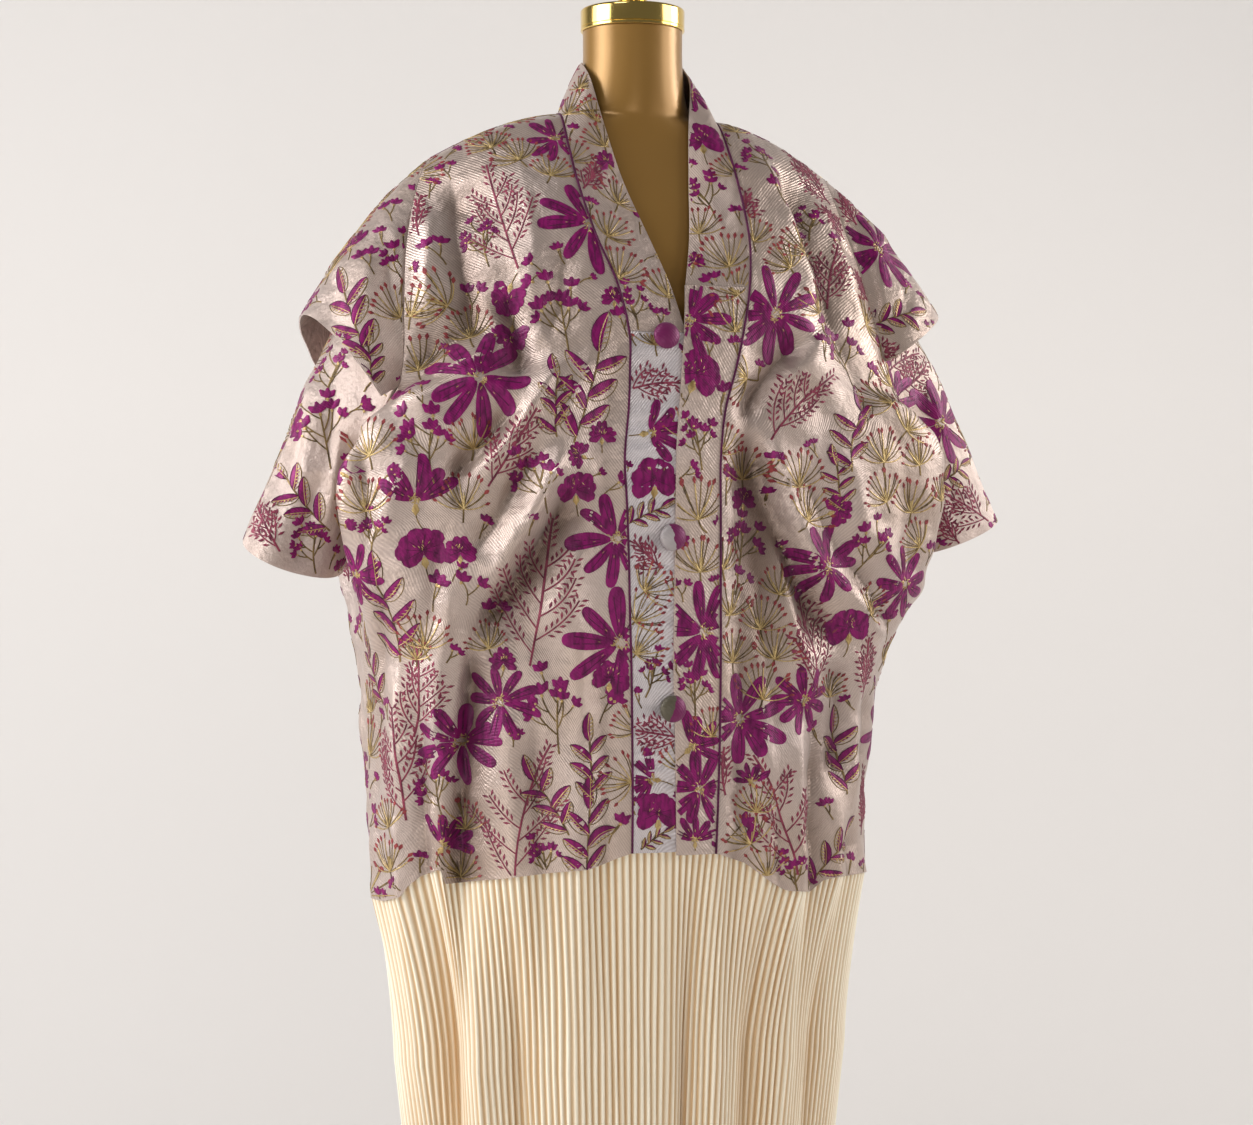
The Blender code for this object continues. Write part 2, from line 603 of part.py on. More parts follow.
def build_undersleeve(grids, side, brocade, collection):
    """A tube from the whole armhole, inside the over-sleeve, down to the cuff."""
    hand = -1 if side == "right" else 1
    ring, sewn_normals = armhole(grids, side, FRONT_ARMHOLE, BACK_ARMHOLE)
    ring = ring[:-1]
    top = FRONT_ARMHOLE
    centre = np.array([hand * 0.25, 0, 1.27])
    inward = centre - ring
    inward[:, 0] = 0
    inset = UNDERSLEEVE_INSET + UNDERSLEEVE_EASE * ease((ring[top, 2] - ring[:, 2]) / 0.12)
    ring = ring + unit(inward) * inset[:, None] + np.array([hand * UNDERSLEEVE_START, 0, 0])
    steps = np.linalg.norm(np.diff(np.concatenate([ring, ring[:1]]), axis=0), axis=1)
    run = np.concatenate([[0], np.cumsum(steps)])
    angle = np.where(np.arange(len(ring)) <= top,
                     -math.pi * (1 - run[:-1] / run[top]),
                     math.pi * (run[:-1] - run[top]) / (run[-1] - run[top]))
    cuff = dict(zip(CUFF_COLUMNS, CUFF[side]))
    high = (1 + np.cos(angle)) / 2
    front = -np.sin(angle)
    end = np.stack([hand * (cuff["inner_x"] + (cuff["outer_x"] - cuff["inner_x"]) * high + cuff["swing"] * np.maximum(front, 0)),
                    -cuff["depth"] * front,
                    cuff["inner_z"] + (cuff["outer_z"] - cuff["inner_z"]) * high - cuff["tilt"] * front], axis=-1)
    u = np.linspace(0, 1, UNDERSLEEVE_STEPS)[:, None, None]
    points = ring * (1 - u) + end * u
    points[..., 1] = ring[:, 1] + (end[:, 1] - ring[:, 1]) * np.sin(u[..., 0] * math.pi / 2)
    out = unit(np.array([hand * 2.0, 0, 1.0]))
    crown = cuff["crown"] * np.clip(np.cos(angle), 0, 1)[None, :, None] * np.sin(u * math.pi)
    points = points + out * crown
    normals = grid_normals(points, (hand * 0.31, 0, 1.14), closed=True)
    name = "undersleeve_" + side
    add(name, wall(name, points, normals, BROCADE, closed=True), brocade, collection)


# Skirt

def resampled(line, count, corners=False):
    """Evenly spaced points along a line of points, by its length.

    With corners, the steps vary a little so that each of the line's own points is among them.
    """
    run = np.concatenate([[0], np.cumsum(np.linalg.norm(np.diff(line[:, :2], axis=0), axis=1))])
    at = np.linspace(0, run[-1], count)
    if corners:
        at = np.interp(np.arange(count), np.round(run / run[-1] * (count - 1)), run)
    return np.stack([np.interp(at, run, line[:, k]) for k in range(line.shape[1])], axis=-1)


def flat_normals(line, facing):
    """Level normals of a line of points in plan, on the outer side."""
    along = np.gradient(line[:, :2], axis=0)
    normals = np.stack([along[:, 1], -along[:, 0], 0 * along[:, 0]], axis=-1)
    normals = unit(normals)
    return normals if np.sum(normals[:, 1]) * facing > 0 else -normals


def corner_stretch(line, normals):
    """How much further each point of a line moves so that its stretches keep their distance."""
    along = unit(np.diff(line[:, :2], axis=0))
    before, after = along[[0, *range(len(along))]], along[[*range(len(along)), -1]]
    square = [np.abs(normals[:, 0] * way[:, 1] - normals[:, 1] * way[:, 0]) for way in (before, after)]
    return 1 / np.maximum(np.minimum(*square), 0.6)


def skirt_level(row, side, facing, folds):
    """Half of one level of the skirt, from the centre to the side, as a fine line."""
    hand = -1 if side == "right" else 1
    angle = np.linspace(0, math.pi / 2, 240)
    deep = row["front"] if facing < 0 else row["back"]
    wide = row["wide_" + side[0]]
    line = np.stack([hand * wide * np.sin(angle), facing * deep * np.cos(angle),
                     row["z"] + 0 * angle], axis=-1)
    fade = ease((math.pi / 2 - angle) / 0.25)
    return line + flat_normals(line, facing) * (fold_height(folds, line) * fade)[:, None]


def build_skirt(name, grids, facing, folds, cloth, collection):
    """Half of the skirt: knife-fine pleats all the way down, tucked into the brocade's hem."""
    part = "front" if facing < 0 else "back"
    count = PLEATS_EACH_SIDE + 1
    levels = []
    for rise in (TUCK, -0.0015):
        halves = []
        for side in ("right", "left"):
            grid = grids[part, side][0]
            slope = (grid[-1] - grid[-2]) / (grid[-2] - grid[-1])[:, 2:]
            hem = grid[-1] - slope * rise
            centre = np.array([[0, hem[0, 1], hem[0, 2]]])
            line = np.concatenate([centre, hem]) if facing < 0 else hem
            normals = flat_normals(line, facing)
            normals[0] = (0, facing, 0)
            normals[-1] = (-1 if side == "right" else 1, 0, 0)
            line = line - normals * (SKIRT_INSET * corner_stretch(line, normals))[:, None]
            halves.append(resampled(line, count, corners=True))
        levels.append(np.concatenate([halves[0][::-1], halves[1][1:]]))
    table = columns(SKIRT, SKIRT_COLUMNS)
    for i in range(len(SKIRT)):
        row = {key: values[i] for key, values in table.items()}
        halves = [resampled(skirt_level(row, side, facing, folds), count) for side in ("right", "left")]
        levels.append(np.concatenate([halves[0][::-1], halves[1][1:]]))
    base = np.array(levels)
    normals = np.array([flat_normals(level, facing) for level in base])
    normals[:, 0] = (-1, 0, 0)
    normals[:, -1] = (1, 0, 0)
    zigzag = PLEAT_DEPTH * np.where(np.arange(base.shape[1]) % 2, 1.0, -1.0)
    zigzag[[0, -1]] = 0
    points = base + normals * zigzag[None, :, None]
    points[:, [0, -1], 1] = facing * REST_GAP
    add(name, wall(name, points, normals, PLISSE), cloth, collection)


# Dress form

def build_torso(skin, collection):
    """The form's body: rounded sections from the hip to the neck, closed and smooth."""
    row = spread(TORSO, TORSO_COLUMNS, (1,) * (len(TORSO) - 1))
    around = np.linspace(0, 2 * math.pi, TORSO_STEPS, endpoint=False)
    x = row["wide"][:, None] * np.sign(np.sin(around)) * np.abs(np.sin(around))
    cosine = np.abs(np.cos(around))[None, :] ** (2 / row["power"][:, None])
    deep = np.where(np.cos(around) > 0, row["front"][:, None], row["back"][:, None])
    y = -np.sign(np.cos(around)) * deep * cosine
    points = np.stack([x, y, row["z"][:, None] + 0 * x], axis=-1)
    rows, cols = points.shape[:2]
    faces = [(i * cols + j, i * cols + (j + 1) % cols, (i + 1) * cols + (j + 1) % cols, (i + 1) * cols + j)
             for i in range(rows - 1) for j in range(cols)]
    faces += [tuple(range(cols)), tuple(range((rows - 1) * cols, rows * cols))]
    add("form_torso", closed_mesh("form_torso", points.reshape(-1, 3), faces), skin, collection)


def build_stand(brass, metal, collection):
    """The turned pieces: cap and finial above the neck, pole and round base below."""
    cap_bottom = NECK_TOP + REST_GAP
    cap = [(0, CAP_HEIGHT), (CAP_RADIUS - 0.003, CAP_HEIGHT), (CAP_RADIUS - 0.0008, CAP_HEIGHT - 0.0008),
           (CAP_RADIUS, CAP_HEIGHT - 0.003), (CAP_RADIUS, 0.001), (CAP_RADIUS - 0.001, 0), (0, 0)]
    turned("neck_cap", cap, brass, collection, 28, (0, 0, cap_bottom))

    seat = cap_bottom + CAP_HEIGHT + REST_GAP
    top = FINIAL_TOP - seat
    ball = top - KNOB_RADIUS
    knob = [(KNOB_RADIUS * math.sin(a), ball + KNOB_RADIUS * math.cos(a))
            for a in np.radians((0, 30, 60, 90, 120))]
    finial = knob + [(STEM_RADIUS * 0.9, ball - 0.017), (STEM_RADIUS, 0.016), (STEM_RADIUS + 0.0025, 0.014),
                     (STEM_RADIUS + 0.0025, 0.011), (STEM_RADIUS + 0.001, 0.009), (0.024, 0.004),
                     (0.037, 0.0015), (0.037, 0), (0, 0)]
    turned("finial", finial, brass, collection, 18, (0, 0, seat))

    pole_bottom = BASE_HEIGHT + REST_GAP
    pole_top = FORM_BOTTOM - REST_GAP - pole_bottom
    pole = [(0, pole_top), (POLE_RADIUS, pole_top), (POLE_RADIUS, 0.032), (POLE_RADIUS + 0.006, 0.026),
            (POLE_RADIUS + 0.010, 0), (0, 0)]
    turned("pole", pole, metal, collection, 20, (0, 0, pole_bottom))

    base = [(0, BASE_HEIGHT), (BASE_RADIUS - 0.012, BASE_HEIGHT), (BASE_RADIUS - 0.004, BASE_HEIGHT - 0.002),
            (BASE_RADIUS, BASE_HEIGHT - 0.006), (BASE_RADIUS, 0.001), (BASE_RADIUS - 0.001, 0), (0, 0)]
    turned("base", base, metal, collection, 40)


def main():
    for piece in list(bpy.data.objects):
        bpy.data.objects.remove(piece)
    collection = bpy.data.collections.new(NAME)
    bpy.context.scene.collection.children.link(collection)
    brocade = material("brocade", (0.62, 0.55, 0.53), 0.42)
    plisse = material("plisse", (0.93, 0.86, 0.72), 0.55)
    skin = material("form_satin", (0.33, 0.17, 0.04), 0.38)
    brass = material("brass", (0.85, 0.62, 0.20), 0.15, 1.0)
    metal = material("stand_metal", (0.85, 0.62, 0.20), 0.22, 1.0)

    grids = build_panels(brocade, collection)
    build_band(grids, brocade, collection)
    build_plackets(grids, brocade, collection)
    build_buttons(grids, brocade, collection)
    for side in ("right", "left"):
        build_oversleeve(grids, side, brocade, collection)
        build_undersleeve(grids, side, brocade, collection)
    build_skirt("skirt_front", grids, -1, SKIRT_FRONT_FOLDS, plisse, collection)
    build_skirt("skirt_back", grids, 1, SKIRT_BACK_FOLDS, plisse, collection)
    build_torso(skin, collection)
    build_stand(brass, metal, collection)


main()
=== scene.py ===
"""Brocade dress with a finely pleated skirt, on a limbless dress form.

Metres, +Z up, the front towards -Y. Right and left are the wearer's: right is -X, left is +X.
"""
import math

import bpy
import numpy as np
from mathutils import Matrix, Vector


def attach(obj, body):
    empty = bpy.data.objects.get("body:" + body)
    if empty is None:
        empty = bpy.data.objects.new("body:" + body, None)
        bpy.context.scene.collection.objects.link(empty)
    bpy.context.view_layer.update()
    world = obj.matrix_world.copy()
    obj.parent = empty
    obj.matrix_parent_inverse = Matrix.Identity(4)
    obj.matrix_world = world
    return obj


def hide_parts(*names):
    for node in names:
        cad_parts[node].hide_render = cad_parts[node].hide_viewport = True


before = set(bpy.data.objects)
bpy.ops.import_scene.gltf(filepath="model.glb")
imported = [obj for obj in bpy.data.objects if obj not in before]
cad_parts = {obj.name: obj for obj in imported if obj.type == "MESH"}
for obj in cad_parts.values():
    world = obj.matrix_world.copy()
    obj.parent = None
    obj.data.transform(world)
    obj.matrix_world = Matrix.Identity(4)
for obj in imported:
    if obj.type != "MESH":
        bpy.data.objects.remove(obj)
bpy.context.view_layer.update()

# Camera, studio light and backdrop. The camera stands 3 m off at chest height, 18 degrees to the
# wearer's right of straight ahead. A pale paper sweep runs from the floor up behind the form, and
# is clear from its back, so that views from behind pass through it.
PHOTO_SIZE = (1253, 1125)
AZIMUTH = math.radians(-18)
RIGHT = np.array([math.cos(AZIMUTH), math.sin(AZIMUTH), 0])
TOWARD = np.array([math.sin(AZIMUTH), -math.cos(AZIMUTH), 0])
CAMERA_DISTANCE = 3.0
CAMERA_ASIDE = -0.0065
CAMERA_HEIGHT = 0.983
LENS_MM = 79.8
SENSOR_MM = 36.0

camera = bpy.data.objects.new("camera", bpy.data.cameras.new("camera"))
camera.location = TOWARD * CAMERA_DISTANCE + RIGHT * CAMERA_ASIDE + np.array([0, 0, CAMERA_HEIGHT])
camera.rotation_euler = (math.pi / 2, 0, AZIMUTH)
camera.data.lens = LENS_MM
camera.data.sensor_width = SENSOR_MM
bpy.context.scene.collection.objects.link(camera)
bpy.context.scene.camera = camera


def photo_pixels(points):
    """Where points in the row frame show in the photograph: its pixels from the left and the top."""
    scale = PHOTO_SIZE[0] * LENS_MM / SENSOR_MM
    depth = CAMERA_DISTANCE - points @ TOWARD
    across = PHOTO_SIZE[0] / 2 + scale * (points @ RIGHT - CAMERA_ASIDE) / depth
    down = PHOTO_SIZE[1] / 2 - scale * (points[..., 2] - CAMERA_HEIGHT) / depth
    return across, down


def soft_light(name, aside, toward, height, width, power, color, aim=(0, 1.05)):
    """A square soft box, placed from the form's axis along the camera's own directions.

    aim is how far towards the camera and how high the point is that the light faces.
    """
    light = bpy.data.objects.new(name, bpy.data.lights.new(name, "AREA"))
    place = RIGHT * aside + TOWARD * toward + np.array([0, 0, height])
    light.location = place
    way = TOWARD * aim[0] + np.array([0, 0, aim[1]]) - place
    light.rotation_euler = Vector(way).to_track_quat("-Z", "Y").to_euler()
    light.data.size = width
    light.data.energy = power
    light.data.color = color
    bpy.context.scene.collection.objects.link(light)


soft_light("key_light", -2.7, 1.1, 1.9, 1.7, 50, (0.96, 0.97, 1.0))
soft_light("top_light", -0.9, 1.6, 3.0, 0.9, 13, (0.98, 0.98, 1.0))
soft_light("fill_light", 2.2, 1.4, 1.0, 1.2, 4, (1.0, 0.93, 0.86))
soft_light("front_light", 0.6, 3.4, 0.7, 0.8, 9, (1.0, 0.97, 0.94))
soft_light("skirt_light", -1.5, 2.3, 0.45, 0.9, 10, (1.0, 0.95, 0.87), aim=(0, 0.42))
soft_light("rim_light", 1.9, -0.6, 1.9, 0.6, 13, (1.0, 0.97, 0.94))
soft_light("sweep_light_left", -2.6, 0.2, 1.8, 2.0, 42, (1.0, 0.98, 0.97), aim=(-2.6, 1.6))
soft_light("sweep_light_right", 2.8, 0.0, 1.8, 2.0, 46, (1.0, 0.98, 0.97), aim=(-2.6, 1.6))

world = bpy.data.worlds.new("studio")
world.use_nodes = True
bpy.context.scene.world = world
bpy.context.scene.view_settings.view_transform = "Standard"


# The output that is used of each kind of shader node.
RESULTS = {
    "Attribute": "Fac", "BsdfTransparent": "BSDF", "Bump": "Normal", "LightPath": "Is Camera Ray",
    "MapRange": "Result", "Mapping": "Vector", "Math": "Value", "Mix": "Result", "MixShader": "Shader",
    "NewGeometry": "Backfacing", "SeparateXYZ": "X", "TexCoord": "Object", "TexNoise": "Fac",
    "TexWave": "Fac", "UVMap": "UV",
}


def node(tree, kind, inputs=None, **settings):
    """The result of a new shader node. An input that is a socket is linked, any other is set."""
    made = tree.nodes.new("ShaderNode" + kind)
    for key, value in settings.items():
        setattr(made, key, value)
    for key, value in (inputs or {}).items():
        if isinstance(value, bpy.types.NodeSocket):
            tree.links.new(value, made.inputs[key])
        else:
            made.inputs[key].default_value = value
    return made.outputs[RESULTS[kind]]


# The surround's strength as it lights the cloth, and what the camera sees on top of it.
CAST_GLOW = 0.15
SEEN_GLOW = 0.62
tree = world.node_tree
glow = node(tree, "Math", {0: node(tree, "LightPath"), 1: SEEN_GLOW, 2: CAST_GLOW},
            operation="MULTIPLY_ADD")
tree.nodes["Background"].inputs["Color"].default_value = (0.90, 0.87, 0.84, 1)
tree.links.new(glow, tree.nodes["Background"].inputs["Strength"])


def finish(name, color, roughness, metallic=0.0, **settings):
    """A Principled material with its plain values set on its own sockets."""
    made = bpy.data.materials.new(name)
    made.use_nodes = True
    shader = made.node_tree.nodes["Principled BSDF"]
    shader.inputs["Base Color"].default_value = (*color, 1)
    shader.inputs["Roughness"].default_value = roughness
    shader.inputs["Metallic"].default_value = metallic
    for key, value in settings.items():
        shader.inputs[key.replace("_", " ")].default_value = value
    return made, made.node_tree, shader


def add_piece(name, points, faces, *materials):
    """A smooth-shaded object from an array of points and a list of faces, with its materials."""
    mesh = bpy.data.meshes.new(name)
    mesh.from_pydata(points.reshape(-1, 3).tolist(), [], faces)
    mesh.shade_smooth()
    for material in materials:
        mesh.materials.append(material)
    piece = bpy.data.objects.new(name, mesh)
    bpy.context.scene.collection.objects.link(piece)
    return piece


paper, tree, shader = finish("paper_sweep", (0.80, 0.775, 0.75), 0.9)
grain = node(tree, "TexNoise", {"Vector": node(tree, "TexCoord"), "Scale": 30.0, "Detail": 4.0})
bump = node(tree, "Bump", {"Height": grain, "Strength": 0.05, "Distance": 0.001})
tree.links.new(bump, shader.inputs["Normal"])
one_sided = node(tree, "MixShader", {0: node(tree, "NewGeometry"),
                                     1: shader.outputs["BSDF"],
                                     2: node(tree, "BsdfTransparent")})
tree.links.new(one_sided, tree.nodes["Material Output"].inputs["Surface"])

bend = np.radians(np.linspace(0, 90, 16))
sweep_line = np.concatenate([[(-4.0, 0.0), (1.2, 0.0)],
                             np.stack([1.3 + 1.3 * np.sin(bend), 1.3 * (1 - np.cos(bend))], axis=-1),
                             [(2.6, 5.0)]])
sweep_points = np.array([RIGHT * side - TOWARD * back + np.array([0, 0, up])
                         for side in (-5.0, 5.0) for back, up in sweep_line])
count = len(sweep_line)
sweep_faces = [(i, i + count, i + count + 1, i + 1) for i in range(count - 1)]
backdrop = add_piece("backdrop", sweep_points, sweep_faces, paper)


# Front panels: two pieces of satin brocade, cut wide and sewn to the band at the V and down the
# front. They hang from the shoulder seams, bulge over the sleeves' undersides, and turn back to
# the side seams. Each is a thin shell whose creases are placed along lines across the cloth.
BROCADE = 0.0015
SEAM = 0.0002
# The photograph's pixel in metres at the front of the dress.
PIXEL = 1.03e-3
FRONT_STEP = 0.0048
FRONT_COLUMNS = 94
RETURN_SHARE = 0.25
SLEEVE_ARC = 50
PANEL_NAMES = ("z", "drop", "deep", "tip", "wide_r", "side_r", "wide_l", "side_l", "turn", "seam_r", "seam_l")
FRONT = (
    (1.4625, .049, .000, .000, .218, .218, .212, .212, .00, .0850, .0850),
    (1.4540, .056, .034, .019, .236, .236, .218, .218, .00, .0900, .0855),
    (1.4200, .066, .068, .042, .254, .254, .226, .226, .00, .0930, .0860),
    (1.3750, .074, .098, .062, .266, .266, .238, .238, .00, .0910, .0873),
    (1.3200, .076, .124, .076, .271, .271, .250, .250, .00, .0800, .0885),
    (1.2700, .070, .139, .084, .273, .273, .260, .260, .00, .0620, .0830),
    (1.2200, .058, .148, .088, .280, .280, .272, .272, .00, .0520, .0725),
    (1.1800, .042, .152, .098, .300, .264, .294, .260, .40, .0525, .0620),
    (1.1400, .025, .154, .100, .324, .253, .313, .250, 1.0, .0545, .0505),
    (1.0900, .018, .155, .095, .344, .262, .324, .258, 1.0, .0590, .0452),
    (1.0400, .020, .155, .084, .339, .279, .320, .272, 1.0, .0565, .0451),
    (0.9800, .024, .155, .066, .322, .294, .309, .283, 1.0, .0545, .0451),
    (0.9300, .027, .155, .046, .302, .297, .280, .275, 1.0, .0535, .0451),
    (0.8800, .030, .155, .028, .294, .294, .271, .271, 1.0, .0520, .0451),
    (0.8000, .035, .155, .016, .2905, .2905, .265, .265, 1.0, .0510, .0440),
    (0.7400, .038, .154, .010, .287, .287, .2605, .2605, 1.0, .0503, .0425),
    (0.6870, .040, .152, .006, .283, .283, .264, .264, 1.0, .0500, .0410),
)
FRONT_ARMHOLE = 8

# The seam with the skirt as the photograph shows it, in its pixels: it rises at the bands, and
# dips where a fold swings forward.
HEM_LINE = ((370, 899), (384, 901), (400, 897), (408, 886), (421, 876), (440, 869), (446, 884), (474, 881),
            (503, 879), (550, 873), (589, 870), (621, 857), (640, 851), (692, 849), (722, 855), (745, 863),
            (768, 880), (786, 891), (810, 892), (824, 880), (839, 877), (868, 872))

# Creases that the photograph shows: the line's two ends in its pixels, how far it bows to the
# viewer's right, the width of the cloth's fall on the left and on the right of the line, and its
# height in millimetres, below zero for a trough.
RIGHT_FRONT_CREASES = (
    (450, 165, 474, 335, -4, 13, 26, -17), (430, 200, 424, 330, 0, 12, 12, 7),
    (514, 140, 536, 320, 6, 18, 16, 7), (566, 230, 548, 345, 4, 14, 12, -7),
    (498, 316, 384, 386, -5, 24, 9, -15), (508, 346, 392, 412, -6, 9, 22, 12),
    (500, 285, 524, 385, 6, 16, 9, -18), (562, 352, 474, 482, 5, 10, 12, 12),
    (524, 395, 436, 492, 4, 14, 8, -15), (590, 350, 556, 430, 2, 12, 12, 7),
    (548, 430, 468, 560, 4, 8, 8, -12), (570, 430, 480, 592, 6, 8, 8, 14),
    (588, 465, 460, 650, 8, 8, 28, -24), (604, 480, 540, 640, 4, 12, 16, 7),
    (474, 610, 444, 960, -4, 5, 34, -25), (456, 560, 432, 780, -2, 18, 5, 9),
    (398, 620, 398, 960, 2, 10, 10, 8), (420, 670, 421, 960, 0, 9, 8, -12),
    (380, 560, 374, 820, 2, 9, 9, -7), (366, 700, 380, 940, 0, 7, 8, 5),
    (352, 420, 368, 560, 4, 8, 12, -8), (414, 440, 372, 560, -2, 10, 10, 7),
    (440, 520, 428, 640, 0, 9, 9, -7), (500, 660, 512, 960, 4, 18, 22, 7),
    (536, 700, 548, 960, -4, 13, 14, -8), (574, 560, 580, 960, 4, 14, 16, 5),
    (604, 620, 606, 960, 0, 12, 10, -7), (470, 440, 452, 510, 0, 9, 10, -7),
    (614, 350, 610, 520, -2, 12, 8, -5),
)
LEFT_FRONT_CREASES = (
    (746, 140, 822, 335, 10, 14, 8, 11), (772, 155, 846, 365, 10, 9, 13, -18),
    (806, 175, 866, 350, 6, 10, 8, 8), (838, 330, 872, 420, 2, 8, 9, -9),
    (812, 332, 738, 432, -6, 15, 8, -18), (830, 330, 776, 404, -4, 8, 12, 9),
    (744, 405, 850, 665, -11, 28, 8, -25), (768, 425, 832, 600, -6, 7, 11, 15),
    (802, 460, 862, 606, -4, 9, 10, -9), (836, 440, 872, 560, 4, 12, 12, 7),
    (834, 560, 888, 650, 0, 7, 8, 9), (852, 556, 892, 634, 0, 6, 8, -11),
    (880, 520, 898, 600, 0, 9, 9, 7), (906, 480, 906, 590, 4, 8, 8, -7),
    (770, 505, 812, 720, 4, 8, 8, 11), (748, 500, 778, 760, 4, 10, 12, -7),
    (842, 650, 838, 800, 4, 12, 8, -16), (858, 640, 852, 820, 2, 8, 8, 8),
    (870, 650, 864, 820, 0, 6, 8, -9), (797, 700, 797, 960, 2, 10, 8, 11),
    (819, 700, 819, 980, -2, 8, 10, -15), (838, 790, 840, 960, 0, 8, 8, 7),
    (853, 800, 850, 960, 0, 7, 7, -8), (738, 450, 736, 980, 4, 12, 20, -9),
    (762, 640, 772, 960, 2, 9, 10, 7), (728, 300, 716, 400, 0, 8, 10, -5),
    (778, 760, 776, 980, 2, 7, 8, -7),
)


def columns(table, names):
    """A table as arrays, one for each named column."""
    return dict(zip(names, np.array(table, dtype=float).T))


def spread(table, names, step=0.006, parts=None):
    """The table's rows on smooth curves, about a grid step apart.

    Each value follows a cubic whose slope at a row is half the difference between the rows on
    either side. The parts that each interval is cut into come back with the columns.
    """
    values = np.array(table, dtype=float)
    slopes = np.gradient(values, axis=0)
    if parts is None:
        run = np.hypot(np.diff(values[:, 0]), np.diff(values[:, names.index("deep")]))
        parts = np.maximum(1, np.round(run / step)).astype(int)
    at = np.concatenate([i + np.arange(n) / n for i, n in enumerate(parts)] + [[len(parts)]])
    low = np.minimum(at.astype(int), len(values) - 2)
    t = (at - low)[:, None]
    fitted = ((2 * t**3 - 3 * t**2 + 1) * values[low] + (t**3 - 2 * t**2 + t) * slopes[low]
              + (3 * t**2 - 2 * t**3) * values[low + 1] + (t**3 - t**2) * slopes[low + 1])
    row = dict(zip(names, fitted.T), at=at, parts=parts)
    if "turn" in row:
        row["turn"] = np.clip(row["turn"], 0, 1)
    return row


def ease(x):
    """0 below 0, 1 above 1, and a smooth step between."""
    x = np.clip(x, 0, 1)
    return x * x * (3 - 2 * x)


def unit(vectors):
    """Each vector divided by its own length."""
    return vectors / np.maximum(np.linalg.norm(vectors, axis=-1, keepdims=True), 1e-12)


def slopes_across(grid, closed):
    """Half the difference between the columns on either side, at each point of a grid."""
    if closed:
        return (np.roll(grid, -1, axis=1) - np.roll(grid, 1, axis=1)) / 2
    return np.gradient(grid, axis=1)


def grid_normals(points, centre, closed=False):
    """The normal at each point of a grid, on the side away from the given centre point."""
    normals = unit(np.cross(slopes_across(points, closed), np.gradient(points, axis=0)))
    return normals if np.sum(normals * (points - np.array(centre))) > 0 else -normals


def level_out(normals, rows, cols, axis=1):
    """The same normals, with those at the given rows and columns turned square to an axis."""
    normals = normals.copy()
    normals[rows, cols, axis] = 0
    return unit(normals)


def trim(points, top=0.0, bottom=0.0, first=0.0, last=0.0):
    """The grid with its edges drawn in along the cloth, so that pieces stay apart at seams."""
    points = points.copy()
    points[0] += unit(points[1] - points[0]) * top
    points[-1] += unit(points[-2] - points[-1]) * bottom
    points[:, 0] += unit(points[:, 1] - points[:, 0]) * first
    points[:, -1] += unit(points[:, -2] - points[:, -1]) * last
    return points


def crease_height(table, across, down):
    """How far the creases of a table push the cloth out at each point of a pair of coordinates.

    With q the distance from the bowed line over the crease's width on that side, its share is
    e to the power of -q^2 / (0.35 + |q|): a crisp crest with a wide foot. Along the line it fades
    in over the first quarter and out over the last.
    """
    height = np.zeros(across.shape)
    for x_top, y_top, x_end, y_end, bow, left, right, rise in table:
        run = np.array([x_end - x_top, y_end - y_top])
        length = np.hypot(*run)
        dx, dy = across - x_top, down - y_top
        along = (dx * run[0] + dy * run[1]) / length**2
        off = (dx * run[1] - dy * run[0]) / length - bow * np.sin(np.clip(along, 0, 1) * math.pi)
        q = off / np.where(off < 0, left, right)
        height += rise * np.exp(-q * q / (0.35 + np.abs(q))) * ease(along * 4) * ease((1 - along) * 4)
    return height * 0.001


def ripple(points, seed, height, length=0.05):
    """Slight unevenness of hanging satin: nine sine waves of drawn directions, added up."""
    draw = np.random.default_rng(seed)
    total = np.zeros(points.shape[:-1])
    for _ in range(9):
        way = unit(draw.normal(size=3) * np.array([1.3, 0.8, 0.7]))
        wave = 2 * math.pi / (length * draw.uniform(0.6, 1.9))
        total += np.sin(points @ way * wave + draw.uniform(0, 2 * math.pi))
    return height * total / 3


def half_section(row, side, facing, s):
    """Points of one half of the front or the back on the levels of the given rows.

    The cloth goes from the band on an ellipse out to its widest point, then curls back to the
    side seam. Beside a sleeve it stops on the ellipse before it turns. s runs from 0 at the band
    to 1 at the side. facing is -1 in front, 1 behind.
    """
    hand = -1 if side == "right" else 1
    key = "_" + side[0]
    seam, wide, end = (row[name + key][:, None] for name in ("seam", "wide", "side"))
    z, drop, deep, tip, turn = (row[name][:, None] for name in ("z", "drop", "deep", "tip", "turn"))
    split = 1 - RETURN_SHARE * turn
    s = s[None, :]
    arc = np.radians(SLEEVE_ARC + (90 - SLEEVE_ARC) * ease(turn * 2.5))
    angle = np.clip(s / split, 0, 1) * arc
    back = turn * np.clip((s - split) / np.maximum(1 - split, 1e-9), 0, 1)
    curl = np.sin(back * math.pi / 2) ** 1.3
    reach = np.sin(angle) / np.sin(arc)
    inward = (np.cos(angle) - np.cos(arc)) / (1 - np.cos(arc))
    x = seam + (wide - seam) * reach - (wide - end) * curl
    y = (tip + (deep - tip) * inward) * (1 - back)
    low = ease((1.10 - z) / 0.35)
    fall = (1 - low) * reach**1.6 + low * (1 - (1 - reach) ** 2.2)
    return np.stack([hand * x, facing * y, z - drop * fall], axis=-1)


